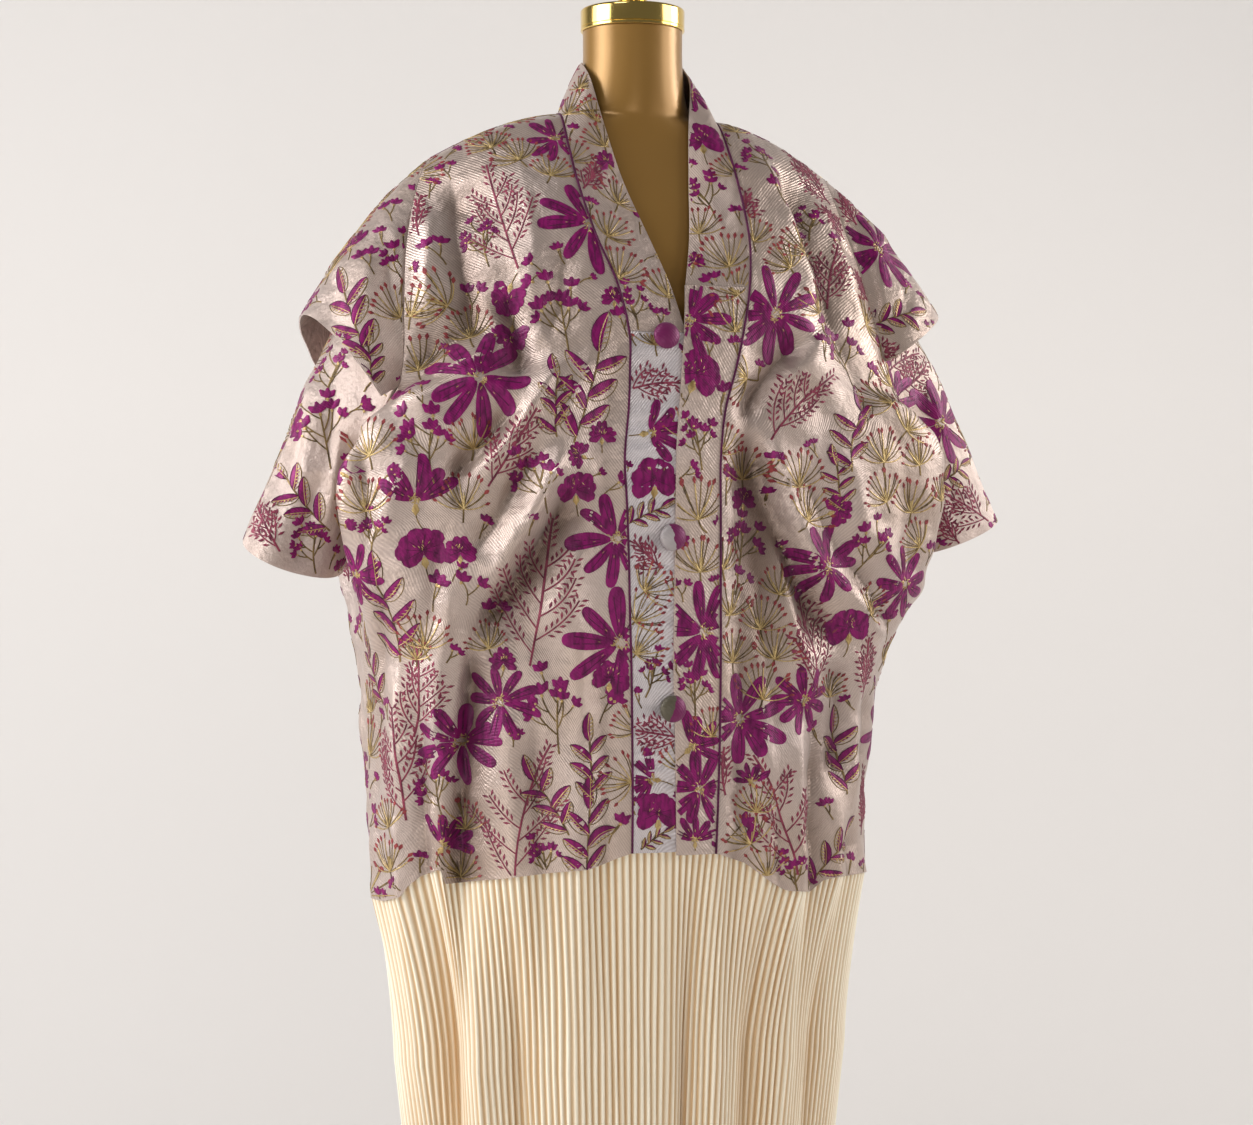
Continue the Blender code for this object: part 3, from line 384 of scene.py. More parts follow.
def half_panel(table, side, facing, creases, seed, step, count):
    """One half of the front or the back: its grid with creases, the smooth one, and its rows.

    The front's creases go by the photograph's pixels, and the back's by millimetres across from
    the wearer's left to right and down from the floor's own height.
    """
    row = spread(table, PANEL_NAMES, step)
    s = np.linspace(0, 1, count)
    smooth = half_section(row, side, facing, s)
    normals = grid_normals(smooth, (0, 0, 1.0))
    fade = ease((1 - s) / 0.16)[None, :] * ease(row["at"] / 2.5)[:, None]
    if facing < 0:
        fade = fade * ease(s / 0.05)[None, :]
        height = crease_height(creases, *photo_pixels(smooth))
    else:
        height = crease_height(creases, smooth[..., 0] * 1000, -smooth[..., 2] * 1000)
    fine = ripple(smooth, seed, 0.0016) + ripple(smooth, seed + 100, 0.0003, 0.024)
    points = smooth + normals * ((height + fine) * fade)[..., None]
    return points, smooth, row


def shell(name, points, normals, thickness, closed=False):
    """A thin closed shell between a grid of outer points and the same grid moved in.

    A closed grid joins its last column to its first, as on a tube. The UV map holds metres of
    cloth: across from the first column, and down from the first row.
    """
    rows, cols = points.shape[:2]
    vertices = np.concatenate([points.reshape(-1, 3), (points - normals * thickness).reshape(-1, 3)])
    index = np.arange(rows * cols).reshape(rows, cols)
    if closed:
        index = np.concatenate([index, index[:, :1]], axis=1)
    inner = index + rows * cols

    def strip(a, b):
        return np.stack([a[:-1], a[1:], b[1:], b[:-1]], axis=-1)

    outside = np.stack([index[:-1, :-1], index[:-1, 1:], index[1:, 1:], index[1:, :-1]], axis=-1)
    outside = outside.reshape(-1, 4)
    inside = outside[:, ::-1] + rows * cols
    faces = [outside, inside, strip(inner[0], index[0]), strip(index[-1], inner[-1])]
    if not closed:
        faces += [strip(index[:, 0], inner[:, 0]), strip(inner[:, -1], index[:, -1])]
    faces = np.concatenate(faces)
    a, b, c = (vertices[outside[:, k]] for k in (0, 1, 3))
    if np.sum(np.cross(b - a, c - a) * normals.reshape(-1, 3)[outside[:, 0]]) < 0:
        faces = faces[:, ::-1]
    steps_across = np.linalg.norm(np.diff(points, axis=1), axis=-1)
    steps_down = np.linalg.norm(np.diff(points, axis=0), axis=-1)
    u = np.concatenate([np.zeros((rows, 1)), np.cumsum(steps_across, axis=1)], axis=1)
    v = np.concatenate([np.zeros((1, cols)), np.cumsum(steps_down, axis=0)])
    if closed:
        u = u[:, :1] + np.linspace(0, 1, cols)[None, :] * u[:, -1:].mean()
    cut = np.stack([u, -v], axis=-1).reshape(-1, 2)
    corners = np.concatenate([cut, cut])[faces.reshape(-1)]
    piece = add_piece(name, vertices, faces.tolist())
    piece.data.uv_layers.new(name="cut").data.foreach_set("uv", corners.reshape(-1))
    piece.data.set_sharp_from_angle(angle=math.radians(60))
    return piece


def store(piece, name, values):
    """A number at each of a piece's points, under the name that its material reads."""
    piece.data.attributes.new(name, "FLOAT", "POINT").data.foreach_set("value", values)


def paint_fold_shade(tree, shader, color, deep, share):
    """Painted shade: the colour goes towards a deep, dark one by up to the given share where the cloth lies
    in a fold.
    """
    painted_fold_shade = node(tree, "Attribute", attribute_name="painted_fold_shade")
    part = node(tree, "Math", {0: painted_fold_shade, 1: share}, operation="MULTIPLY", use_clamp=True)
    mixed = node(tree, "Mix", {"Factor": part, "A": color, "B": (*deep, 1)}, data_type="RGBA")
    tree.links.new(mixed, shader.inputs["Base Color"])


def satin_brocade(name, warm, cool):
    """The ground: champagne satin with fine slanting ribs, a soft grain, and two cloudy tints. Shade is
    painted into its colour in folds.
    """
    made, tree, shader = finish(name, warm, 0.40, 0.55,
                                Anisotropic=0.35, Sheen_Weight=0.25, Sheen_Roughness=0.4)
    cut = node(tree, "UVMap", uv_map="cut")
    slant = node(tree, "Mapping", {"Vector": cut, "Rotation": (0, 0, math.radians(38))})
    ribs = node(tree, "TexWave", {"Vector": slant, "Scale": 120.0,
                                  "Distortion": 0.6, "Detail": 1.0, "Detail Scale": 2.0})
    place = node(tree, "TexCoord")
    cloud = node(tree, "TexNoise", {"Vector": place, "Scale": 7.0, "Detail": 2.0})
    grain = node(tree, "TexNoise", {"Vector": place, "Scale": 420.0, "Detail": 3.0})
    pucker = node(tree, "TexNoise", {"Vector": place, "Scale": 55.0, "Detail": 3.0})
    tint = node(tree, "Mix", {"Factor": cloud, "A": (*warm, 1), "B": (*cool, 1)}, data_type="RGBA")
    shade = node(tree, "Math", {0: ribs, 1: 0.36}, operation="MULTIPLY")
    ribbed = node(tree, "Mix", {"Factor": shade, "A": tint,
                                "B": (0.36, 0.27, 0.25, 1)}, data_type="RGBA")
    # Painted shade: the colour darkens towards a deep brown where the cloth lies in a fold.
    paint_fold_shade(tree, shader, ribbed, (0.13, 0.075, 0.05), 0.82)
    low = node(tree, "Bump", {"Height": pucker, "Strength": 0.8, "Distance": 0.0036})
    mid = node(tree, "Bump", {"Height": ribs, "Strength": 0.5, "Distance": 0.0004,
                              "Normal": low})
    top = node(tree, "Bump", {"Height": grain, "Strength": 0.35, "Distance": 0.0004,
                              "Normal": mid})
    tree.links.new(top, shader.inputs["Normal"])
    return made


def figure_thread(name, bright, dark, roughness, metallic):
    """Thread of the woven figures: two tones that change along short streaks, over a fine rib, with shade
    painted into its colour in folds.
    """
    made, tree, shader = finish(name, bright, roughness, metallic, Sheen_Weight=0.05, Specular_IOR_Level=0.3)
    place = node(tree, "TexCoord")
    long = node(tree, "Mapping", {"Vector": place, "Scale": (1.0, 1.0, 0.35)})
    streak = node(tree, "TexNoise", {"Vector": long, "Scale": 210.0, "Detail": 3.0})
    ramp = node(tree, "MapRange", {"Value": streak, "From Min": 0.40, "From Max": 0.66})
    color = node(tree, "Mix", {"Factor": ramp, "A": (*bright, 1), "B": (*dark, 1)},
                 data_type="RGBA")
    # Painted shade: the thread darkens towards a deeper tone where the cloth under it lies in a fold.
    paint_fold_shade(tree, shader, color, [0.35 * value for value in dark], 0.6)
    rib = node(tree, "TexWave", {"Vector": place, "Scale": 190.0, "Distortion": 1.5},
               bands_direction="DIAGONAL")
    bump = node(tree, "Bump", {"Height": rib, "Strength": 0.4, "Distance": 0.0003})
    tree.links.new(bump, shader.inputs["Normal"])
    return made


BROCADE_GROUND = satin_brocade("brocade_ground", (0.57, 0.42, 0.31), (0.64, 0.55, 0.53))
# Painted light: the same brocade ground, painted lighter and more lilac for the under band, stands in for the
# sheen on that recessed band.
BAND_GROUND_PAINTED_LIGHT = satin_brocade("brocade_band_ground_painted_light", (0.70, 0.62, 0.60), (0.82, 0.80, 0.86))

# Threads: key, name, light and dark tone, roughness, metallic share, and height over the cloth.
THREAD_TABLE = (
    ("stem", "olive_gold", (0.26, 0.175, 0.07), (0.085, 0.055, 0.025), 0.42, 0.45, 0.00040),
    ("rose", "rose", (0.29, 0.050, 0.090), (0.13, 0.018, 0.042), 0.5, 0.1, 0.00045),
    ("petal", "magenta", (0.26, 0.006, 0.130), (0.11, 0.002, 0.058), 0.42, 0.15, 0.00050),
    ("shade", "plum", (0.10, 0.002, 0.055), (0.06, 0.002, 0.03), 0.5, 0.1, 0.00060),
    ("gold", "pale_gold", (0.60, 0.44, 0.20), (0.34, 0.22, 0.08), 0.36, 0.6, 0.00068),
    ("tip", "brick", (0.34, 0.06, 0.06), (0.17, 0.02, 0.03), 0.5, 0.1, 0.00055),
)
THREADS = {key: (figure_thread(name + "_thread", *look), height)
           for key, name, *look, height in THREAD_TABLE}
THREAD_ORDER = tuple(THREADS)


def blade(root, angle, length, width, full=0.6, point=1.0, bend=0.0, share=(-1, 1)):
    """A petal or leaf as a small grid of flat points, about 4 mm apart so that it follows creases.

    Its half width rises and falls as a power of the way to its fullest part and a power of the
    way on to its tip. share is the part across it that is covered, and bend bows it to its left.
    """
    t = 0.5 - 0.5 * np.cos(np.linspace(0.07, 0.97, int(np.clip(length / 0.0042, 3, 11))) * math.pi)[:, None]
    half = width / 2 * (t / full) ** (point * full) * ((1 - t) / (1 - full)) ** (point * (1 - full))
    across = int(np.clip(width * (share[1] - share[0]) / 0.0084 + 2, 2, 5))
    aside = half * np.linspace(*share, across)[None, :] + bend * length * np.sin(t * math.pi)
    ahead = t * length + 0 * aside
    return np.stack([root[0] + ahead * math.cos(angle) - aside * math.sin(angle),
                     root[1] + ahead * math.sin(angle) + aside * math.cos(angle)], axis=-1)


def thread(path, width):
    """A strip of the given width along a path, with points at most 6 mm apart."""
    run = np.concatenate([[0], np.cumsum(np.linalg.norm(np.diff(path, axis=0), axis=1))])
    at = np.linspace(0, run[-1], int(run[-1] / 0.006) + 2)
    path = np.stack([np.interp(at, run, path[:, 0]), np.interp(at, run, path[:, 1])], axis=-1)
    along = unit(np.gradient(path, axis=0))
    aside = np.stack([-along[:, 1], along[:, 0]], axis=-1) * width / 2
    return np.stack([path - aside, path + aside], axis=1)


def curve(root, angle, length, turn, steps=6):
    """A path that turns evenly by the given angle over its length."""
    angles = angle + turn * (np.arange(steps - 1) + 0.5) / (steps - 1)
    legs = np.stack([np.cos(angles), np.sin(angles)], axis=-1) * length / (steps - 1)
    return np.concatenate([[root], np.array(root) + np.cumsum(legs, axis=0)])


# The angle of a figure's stem before the figure is turned.
UPRIGHT = math.pi / 2


def way(angle):
    """The direction at an angle in a figure's plane."""
    return np.array([math.cos(angle), math.sin(angle)])


def daisy(size, draw, petals=9, spread_angle=2 * math.pi, start=0.0, full=0.150):
    """A wide open flower: rounded petals with dark veins round a gold centre."""
    parts = []
    for k in range(petals):
        angle = start + spread_angle * (k + 0.5) / petals + draw.normal(0, 0.07)
        root = size * 0.045 * way(angle)
        length = size * 0.50 * draw.uniform(0.84, 1.08)
        width = size * full * draw.uniform(0.85, 1.2)
        bend = draw.normal(0, 0.04)
        parts.append(("petal", blade(root, angle, length, width, 0.64, 0.95, bend)))
        for aside in (-0.13, 0.13):
            vein = root + length * 0.25 * way(angle + aside)
            parts.append(("shade", thread(curve(vein, angle + aside / 2, length * 0.55, 0, 4), 0.0010)))
        fleck = root + length * draw.uniform(0.2, 0.4) * way(angle)
        parts.append(("gold", blade(fleck, angle, 0.0035, 0.0008)))
    for k in range(18):
        angle = start + spread_angle * draw.uniform()
        root = size * 0.085 * math.sqrt(draw.uniform()) * way(angle)
        parts.append(("gold", blade(root, draw.uniform(0, 6.28), 0.0042, 0.0014)))
    return parts


def side_daisy(size, draw):
    """A daisy seen from its side: five or six petals in a fan over a gold cup and a stem."""
    parts = daisy(size * 1.1, draw, 5, math.radians(160), math.radians(10), 0.16)
    parts.append(("gold", blade((0, -size * 0.02), -UPRIGHT, size * 0.16, size * 0.11, 0.35)))
    stem = curve((0, -size * 0.12), -UPRIGHT, size * 0.3, draw.normal(0, 0.5))
    parts.append(("stem", thread(stem, 0.0011)))
    return parts


def carnation(size, draw):
    """A round ruffled bloom over a cup, with gold stitches at its heart."""
    parts = []
    for angle in np.radians(np.linspace(-22, 202, 8)):
        parts.append(("petal", blade((0, -size * 0.10), angle + draw.normal(0, 0.05),
                                     size * draw.uniform(0.46, 0.58), size * 0.36, 0.66, 0.8)))
        parts.append(("shade", thread(curve((0, -size * 0.05), angle, size * 0.34, 0, 4), 0.0006)))
    for k in range(7):
        root = (draw.normal(0, size * 0.12), draw.normal(size * 0.05, size * 0.08))
        parts.append(("gold", blade(root, draw.uniform(0.6, 2.5), 0.0036, 0.001)))
    parts.append(("gold", blade((0, -size * 0.20), -UPRIGHT, size * 0.26, size * 0.17, 0.35)))
    stem = curve((0, -size * 0.4), -UPRIGHT, size * 0.35, draw.normal(0, 0.6))
    parts.append(("stem", thread(stem, 0.0011)))
    return parts


def bud(root, angle, size, draw):
    """A small three-petalled bud on a gold foot."""
    parts = [("petal", blade(root, angle + aside, size * draw.uniform(0.85, 1.1), size * 0.62, 0.62, 0.8))
             for aside in (-0.75, 0.0, 0.75)]
    parts.append(("gold", blade(root, angle + math.pi, size * 0.30, size * 0.30, 0.4)))
    return parts


def bud_spray(size, draw):
    """Gold twigs that fork upwards, each with a bud at its end."""
    stem = curve((0, -size * 0.5), UPRIGHT + draw.normal(0, 0.1), size * 0.66, draw.normal(0, 0.35), 10)
    parts = [("stem", thread(stem, 0.0018))] + bud(stem[-1], UPRIGHT, size * 0.15, draw)
    for k, at in enumerate((3, 4, 5, 6, 8)):
        hand = 1 if k % 2 else -1
        angle = UPRIGHT - hand * math.radians(draw.uniform(32, 55))
        branch = curve(stem[at], angle, size * draw.uniform(0.30, 0.44), hand * draw.uniform(0.3, 0.9))
        parts.append(("stem", thread(branch, 0.0015)))
        parts += bud(branch[-1], angle + hand * 0.5, size * draw.uniform(0.12, 0.16), draw)
        if k < 3:
            fork = curve(branch[2], angle - hand * 0.5, size * 0.2, hand * 0.6)
            parts.append(("stem", thread(fork, 0.0013)))
            parts += bud(fork[-1], angle - hand * 0.2, size * 0.11, draw)
    return parts


def leaf(root, angle, length, width, draw, hand):
    """A leaf half of magenta thread and half hatched in gold, with a dark edge and rib."""
    bend = draw.normal(0, 0.05)
    parts = [("petal", blade(root, angle, length, width, 0.46, 1.15, bend, (0, hand))),
             ("petal", blade(root, angle, length * 0.92, width * 0.8, 0.46, 1.15, bend, (0, -hand * 0.42)))]
    for edge in (-1, 1):
        line = blade(root, angle, length, width, 0.46, 1.15, bend, (edge, edge * 0.999))[:, 0]
        parts.append(("stem" if edge != hand else "shade", thread(line, 0.0009)))
    rib = blade(root, angle, length * 0.95, width, 0.46, 1.15, bend, (0, 0.001))[:, 0]
    parts.append(("gold", thread(rib, 0.0008)))
    for t in (0.2, 0.34, 0.48, 0.62, 0.76):
        at = rib[0] * (1 - t) + rib[-1] * t
        parts.append(("gold", blade(at, angle - hand * 0.9, width * 0.40, 0.0012)))
    return parts


def leaf_spray(size, draw):
    """A curved stem with pairs of pointed leaves and one at its end."""
    stem = curve((0, -size * 0.5), UPRIGHT + draw.normal(0, 0.08), size * 0.72, draw.normal(0, 0.3), 11)
    parts = [("stem", thread(stem, 0.0019))]
    parts += leaf(stem[-1], UPRIGHT, size * 0.33, size * 0.135, draw, 1)
    for at in (2, 5, 8):
        for hand in (-1, 1):
            angle = UPRIGHT - hand * math.radians(draw.uniform(38, 60))
            root = stem[at] + (stem[at - 1] - stem[at]) * (0.0 if hand > 0 else 1.3)
            length, width = size * draw.uniform(0.27, 0.33), size * draw.uniform(0.11, 0.13)
            parts += leaf(root, angle, length, width, draw, hand)
    return parts


def fern(size, draw):
    """A feathery branch: side twigs on both sides of a stem, all set with short dashes."""
    stem = curve((0, -size * 0.5), UPRIGHT, size * 0.95, draw.normal(0, 0.35), 13)
    parts = [("rose", thread(stem, 0.0021))]
    branches = [stem[-4:]]
    for k in range(8):
        hand = 1 if k % 2 else -1
        angle = UPRIGHT - hand * math.radians(draw.uniform(38, 58))
        length = size * (0.46 - 0.035 * k) * draw.uniform(0.85, 1.1)
        branches.append(curve(stem[k + 1], angle, length, hand * draw.uniform(0.2, 0.8), 9))
        parts.append(("rose", thread(branches[-1], 0.0014)))
    for branch in branches:
        last = len(branch) - 1
        run = np.linalg.norm(branch[-1] - branch[0])
        for t in np.arange(0.22, 1.02, 0.0068 / max(run, 0.01)):
            at = np.array([np.interp(t * last, np.arange(last + 1), branch[:, c]) for c in (0, 1)])
            leg = int(t * last)
            step = branch[min(leg + 1, last)] - branch[min(leg, last - 1)]
            ahead = math.atan2(step[1], step[0])
            for hand in (-1, 1):
                root = at + 0.0021 * way(ahead + hand * 1.2)
                parts.append(("rose", blade(root, ahead + hand * draw.uniform(0.5, 0.85),
                                            draw.uniform(0.0058, 0.0080), 0.0026, 0.6)))
    return parts


def umbel(size, draw):
    """A fan of fine gold rays from the top of a stem, each with a brick-red seed."""
    root = np.array([0, -size * 0.22])
    parts = [("stem", thread(curve(root, -UPRIGHT, size * 0.30, draw.normal(0, 0.4)), 0.0018))]
    for k, degrees in enumerate(np.linspace(24, 156, 13)):
        angle = math.radians(degrees + draw.normal(0, 3))
        reach = size * (0.50 + 0.17 * math.sin(math.radians(degrees))) * draw.uniform(0.86, 1.08)
        ray = curve(root, UPRIGHT + (angle - UPRIGHT) * 1.45, reach, (UPRIGHT - angle) * 0.65)
        parts.append(("stem" if k % 3 else "gold", thread(ray, 0.0011)))
        parts.append(("tip", blade(ray[-1], angle, size * 0.13, size * 0.075, 0.6, 0.9)))
    for k in range(6):
        angle = math.radians(draw.uniform(40, 140))
        parts.append(("gold", thread(curve(root, angle, size * draw.uniform(0.2, 0.36), 0, 4), 0.0008)))
    return parts


def twig(size, draw):
    """A single bud or two on a short stem, for the gaps between larger figures."""
    stem = curve((0, -size * 0.45), UPRIGHT, size * 0.7, draw.normal(0, 0.5), 6)
    parts = [("stem", thread(stem, 0.0014))] + bud(stem[-1], UPRIGHT, size * 0.32, draw)
    fork = curve(stem[2], math.radians(50), size * 0.42, 0.5, 5)
    return parts + [("stem", thread(fork, 0.0013))] + bud(fork[-1], math.radians(60), size * 0.28, draw)


FIGURES = {"daisy": daisy, "side": side_daisy, "carnation": carnation, "spray": bud_spray,
           "leaves": leaf_spray, "fern": fern, "umbel": umbel, "twig": twig}


def on_cloth(grid, places, closed):
    """Values of a grid between its rows and columns, from the four points around each place."""
    rows, cols = grid.shape[:2]
    i, j = places.T
    i = np.clip(i, 0, rows - 1.0001)
    j = j % cols if closed else np.clip(j, 0, cols - 1.0001)
    a, b = i.astype(int), j.astype(int)
    e = (b + 1) % cols
    s, t = (i - a)[:, None], (j - b)[:, None]
    return ((grid[a, b] * (1 - t) + grid[a, e] * t) * (1 - s)
            + (grid[a + 1, b] * (1 - t) + grid[a + 1, e] * t) * s)


# How far a strip's point may stay from its place before it counts as off the cloth, and how thick
# the strips are.
OFF_CLOTH = 0.003
RELIEF = 0.0006


def lay_figure(kind, at, size, turn, cloth, draw):
    """A figure's strips laid on the cloth round a grid place, upright before its turn.

    The figure lies flat on the plane that touches the cloth there, and drops straight on to the
    cloth: Newton steps find the grid places that stand under its points. Points that they can't
    reach are marked as off the cloth.
    """
    _, normals, closed, smooth, _ = cloth
    i, j = at
    rows, cols = smooth.shape[:2]
    slopes_i, slopes_j = np.gradient(smooth, axis=0), slopes_across(smooth, closed)
    i0, i1, j0, j1 = max(i - 3, 0), min(i + 4, rows), max(j - 3, 0), min(j + 4, cols)
    out = unit(normals[i0:i1, j0:j1].mean(axis=(0, 1)))
    up = unit(np.array([0, 0, 1.0]) - out[2] * out)
    side = np.cross(up, out)
    plane = np.stack([side, up])
    spin = np.array([[math.cos(turn), -math.sin(turn)], [math.sin(turn), math.cos(turn)]])
    figure = FIGURES[kind](size, draw)
    goal = np.concatenate([strip.reshape(-1, 2) for _, strip in figure]) @ spin.T
    places = np.tile(np.array([i, j], dtype=float), (len(goal), 1))
    for _ in range(6):
        here = on_cloth(smooth, places, closed)
        miss = goal - (here - smooth[i, j]) @ plane.T
        along_i = on_cloth(slopes_i, places, closed) @ plane.T
        along_j = on_cloth(slopes_j, places, closed) @ plane.T
        area = along_i[:, 0] * along_j[:, 1] - along_i[:, 1] * along_j[:, 0]
        area = np.where(np.abs(area) < 4e-6, np.copysign(4e-6, area), area)
        step = np.stack([miss[:, 0] * along_j[:, 1] - miss[:, 1] * along_j[:, 0],
                         miss[:, 1] * along_i[:, 0] - miss[:, 0] * along_i[:, 1]], axis=-1) / area[:, None]
        places += np.clip(step, -9, 9)
    places[np.abs(miss).max(axis=1) > OFF_CLOTH, 0] = -1
    ends = np.cumsum([strip.shape[0] * strip.shape[1] for _, strip in figure])
    return [(kind_of, strip.shape[:2], part)
            for (kind_of, strip), part in zip(figure, np.split(places, ends[:-1]))]


def figure_piece(name, laid, cloth):
    """All of a cloth piece's figures as one mesh of thin raised strips, one material a thread."""
    points, normals, closed, _, painted_fold_shade = cloth
    rows, cols = points.shape[:2]
    vertices, faces, kinds, folds, total = [], [], [], [], 0
    for thread_kind, (n, m), places in laid:
        outside = (places[:, 0] < 0) | (places[:, 0] > rows - 1)
        if not closed:
            outside |= (places[:, 1] < 0) | (places[:, 1] > cols - 1)
        index = np.arange(n * m).reshape(n, m)
        quads = np.stack([index[:-1, :-1], index[1:, :-1], index[1:, 1:], index[:-1, 1:]], axis=-1)
        quads = quads.reshape(-1, 4)
        quads = quads[~outside[quads].any(axis=1)]
        if not len(quads):
            continue
        base = on_cloth(points, places, closed)
        out = unit(on_cloth(normals, places, closed))
        vertices.append(base + out * THREADS[thread_kind][1])
        # Painted shade: the fold depth of the cloth under each figure point, so that the threads darken in
        # folds too.
        folds.append(on_cloth(painted_fold_shade[..., None], places, closed)[:, 0])
        a, b, c = (vertices[-1][quads[:, k]] for k in (0, 1, 3))
        if np.sum(np.cross(b - a, c - a) * out[quads[:, 0]]) < 0:
            quads = quads[:, ::-1]
        faces.append(quads + total)
        kinds.append(np.full(len(quads), THREAD_ORDER.index(thread_kind)))
        total += n * m
    piece = add_piece(name, np.concatenate(vertices), np.concatenate(faces).tolist(),
                      *(material for material, _ in THREADS.values()))
    store(piece, "painted_fold_shade", np.concatenate(folds))
    piece.data.polygons.foreach_set("material_index", np.concatenate(kinds).astype(np.int32))
    thick = piece.modifiers.new("relief", "SOLIDIFY")
    thick.thickness = RELIEF
    thick.offset = -1
    piece.modifiers.new("flat_tops", "WEIGHTED_NORMAL").weight = 80
    return piece


# Scattered figures: kind, size, the share of it that keeps clear of others, and tries at each.
SCATTER = (("daisy", 0.086, 0.50, 0.05), ("leaves", 0.110, 0.42, 0.12), ("fern", 0.120, 0.42, 0.2),
           ("daisy", 0.070, 0.52, 0.05), ("spray", 0.075, 0.40, 0.3), ("side", 0.060, 0.42, 0.2),
           ("umbel", 0.046, 0.40, 1), ("fern", 0.050, 0.42, 0.5), ("carnation", 0.030, 0.5, 0.08),
           ("twig", 0.036, 0.42, 1), ("twig", 0.024, 0.40, 1))

# A placed figure's size for each of its pixels, the share of it that keeps clear of others, how
# many pixels off its place may be, and the size from which scattered ones keep to unseen cloth.
FIGURE_PIXEL = 1.05e-3
PLACED_SHARE = 0.37
NEAR_PIXELS = 14
LARGE_FIGURE = 0.051


def weave(cloth, placed, seed, tries):
    """All figures of a piece: those placed by a pixel of the photograph, then a seeded scatter.

    Scattered ones take turns by kind, from large to small, and keep clear of those before.
    """
    points, normals, *_ = cloth
    draw = np.random.default_rng(seed)
    across, down = photo_pixels(points)
    laid, taken = [], []
    for kind, x, y, size, turn in placed:
        away = np.where(normals @ TOWARD > -0.1, np.hypot(across - x, down - y), 1e9)
        at = np.unravel_index(np.argmin(away), away.shape)
        if away[at] < NEAR_PIXELS:
            laid += lay_figure(kind, at, size * FIGURE_PIXEL, math.radians(turn), cloth, draw)
            taken.append((points[at], size * PIXEL * PLACED_SHARE))
    hidden = (normals @ TOWARD < 0.0) if placed else np.ones(points.shape[:2], bool)
    for kind, size, share, often in SCATTER:
        for _ in range(int(tries * often)):
            at = (draw.integers(points.shape[0]), draw.integers(points.shape[1]))
            scale = size * draw.uniform(0.85, 1.15)
            if size > LARGE_FIGURE and not hidden[at]:
                continue
            gap = [np.linalg.norm(points[at] - p) - r - scale * share for p, r in taken]
            if min(gap, default=1) > 0:
                turn = draw.normal(0, 0.5)
                laid += lay_figure(kind, at, scale, turn, cloth, draw)
                taken.append((points[at], scale * share))
    return laid


# The depth at which the shade painted into a fold's colour is full, and the share of it before the painted
# shade begins.
PAINTED_SHADE_DEPTH = 0.017
PAINTED_SHADE_START = 0.08


def sew(name, replaced, points, normals, placed, seed, tries, closed=False,
        smooth=None, ground=BROCADE_GROUND):
    """One brocade piece with its woven figures, riding on the part.

    smooth is the grid before its creases. How deep the points lie below it sets the shade painted into the
    folds' colour.
    """
    piece = shell(name, points, normals, BROCADE, closed)
    piece.data.materials.append(ground)
    smooth = points if smooth is None else smooth
    # Painted shade: each point's depth below the smooth grid, stored for the materials to darken the colour
    # in folds.
    painted_fold_shade = np.clip(np.sum((smooth - points) * normals, axis=-1) / PAINTED_SHADE_DEPTH - PAINTED_SHADE_START, 0, 1)
    store(piece, "painted_fold_shade", np.tile(painted_fold_shade.reshape(-1), 2))
    cloth = points, normals, closed, smooth, painted_fold_shade
    figures = figure_piece(name + "_figures", weave(cloth, placed, seed, tries), cloth)
    for part in (piece, figures):
        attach(part, "root")
    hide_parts(replaced)
    return piece


# Figures of the front panels: kind, the photograph's pixel at the middle, size in its pixels,
# and turn in degrees to the left of upright.
RIGHT_FRONT_FIGURES = (
    ("fern", 500, 215, 128, 22), ("daisy", 556, 138, 62, 0), ("daisy", 590, 224, 94, 10),
    ("spray", 562, 315, 84, 8), ("umbel", 436, 300, 50, 60), ("umbel", 412, 306, 44, -10),
    ("leaves", 592, 382, 128, -18), ("leaves", 556, 396, 78, 6), ("daisy", 480, 378, 96, 15),
    ("spray", 478, 240, 60, 25), ("umbel", 470, 330, 44, 15), ("carnation", 507, 300, 34, 160),
    ("carnation", 512, 338, 30, 170), ("twig", 437, 250, 34, 20), ("twig", 430, 190, 26, 0),
    ("spray", 425, 442, 80, 12), ("umbel", 366, 446, 48, 20), ("umbel", 362, 500, 46, 10),
    ("side", 414, 500, 74, 0), ("carnation", 424, 548, 46, 10), ("carnation", 462, 548, 30, 0),
    ("spray", 372, 532, 46, -10), ("daisy", 356, 575, 62, 0), ("leaves", 392, 610, 110, -4),
    ("leaves", 372, 665, 84, 16), ("twig", 433, 590, 40, 0), ("twig", 474, 590, 36, -20),
    ("fern", 516, 446, 92, -32), ("spray", 532, 480, 70, 20), ("carnation", 578, 486, 36, 5),
    ("carnation", 600, 435, 26, 0), ("umbel", 470, 440, 38, 10), ("umbel", 466, 500, 44, 0),
    ("fern", 548, 590, 150, -12), ("daisy", 616, 538, 90, 0), ("daisy", 622, 645, 104, 0),
    ("carnation", 611, 676, 36, -5), ("carnation", 504, 662, 26, 0), ("daisy", 500, 702, 70, 0),
    ("daisy", 460, 740, 78, 20), ("spray", 556, 712, 84, 6), ("leaves", 592, 760, 84, 2),
    ("leaves", 590, 832, 104, 0), ("leaves", 552, 795, 84, 22), ("fern", 512, 812, 158, 2),
    ("fern", 396, 760, 118, 4), ("fern", 424, 690, 96, -18), ("umbel", 424, 636, 46, 0),
    ("umbel", 388, 862, 46, 10), ("umbel", 464, 822, 40, 0), ("umbel", 462, 868, 42, -8),
    ("spray", 434, 790, 62, 20), ("side", 442, 845, 54, -30), ("spray", 545, 858, 50, 0),
    ("twig", 610, 828, 34, -10), ("umbel", 620, 780, 44, 70), ("twig", 498, 618, 36, 0),
    ("twig", 448, 168, 26, 20), ("umbel", 416, 655, 30, 0), ("twig", 604, 705, 40, -20),
    ("twig", 382, 905, 26, 0), ("carnation", 615, 295, 24, 0), ("umbel", 488, 640, 34, 10),
)
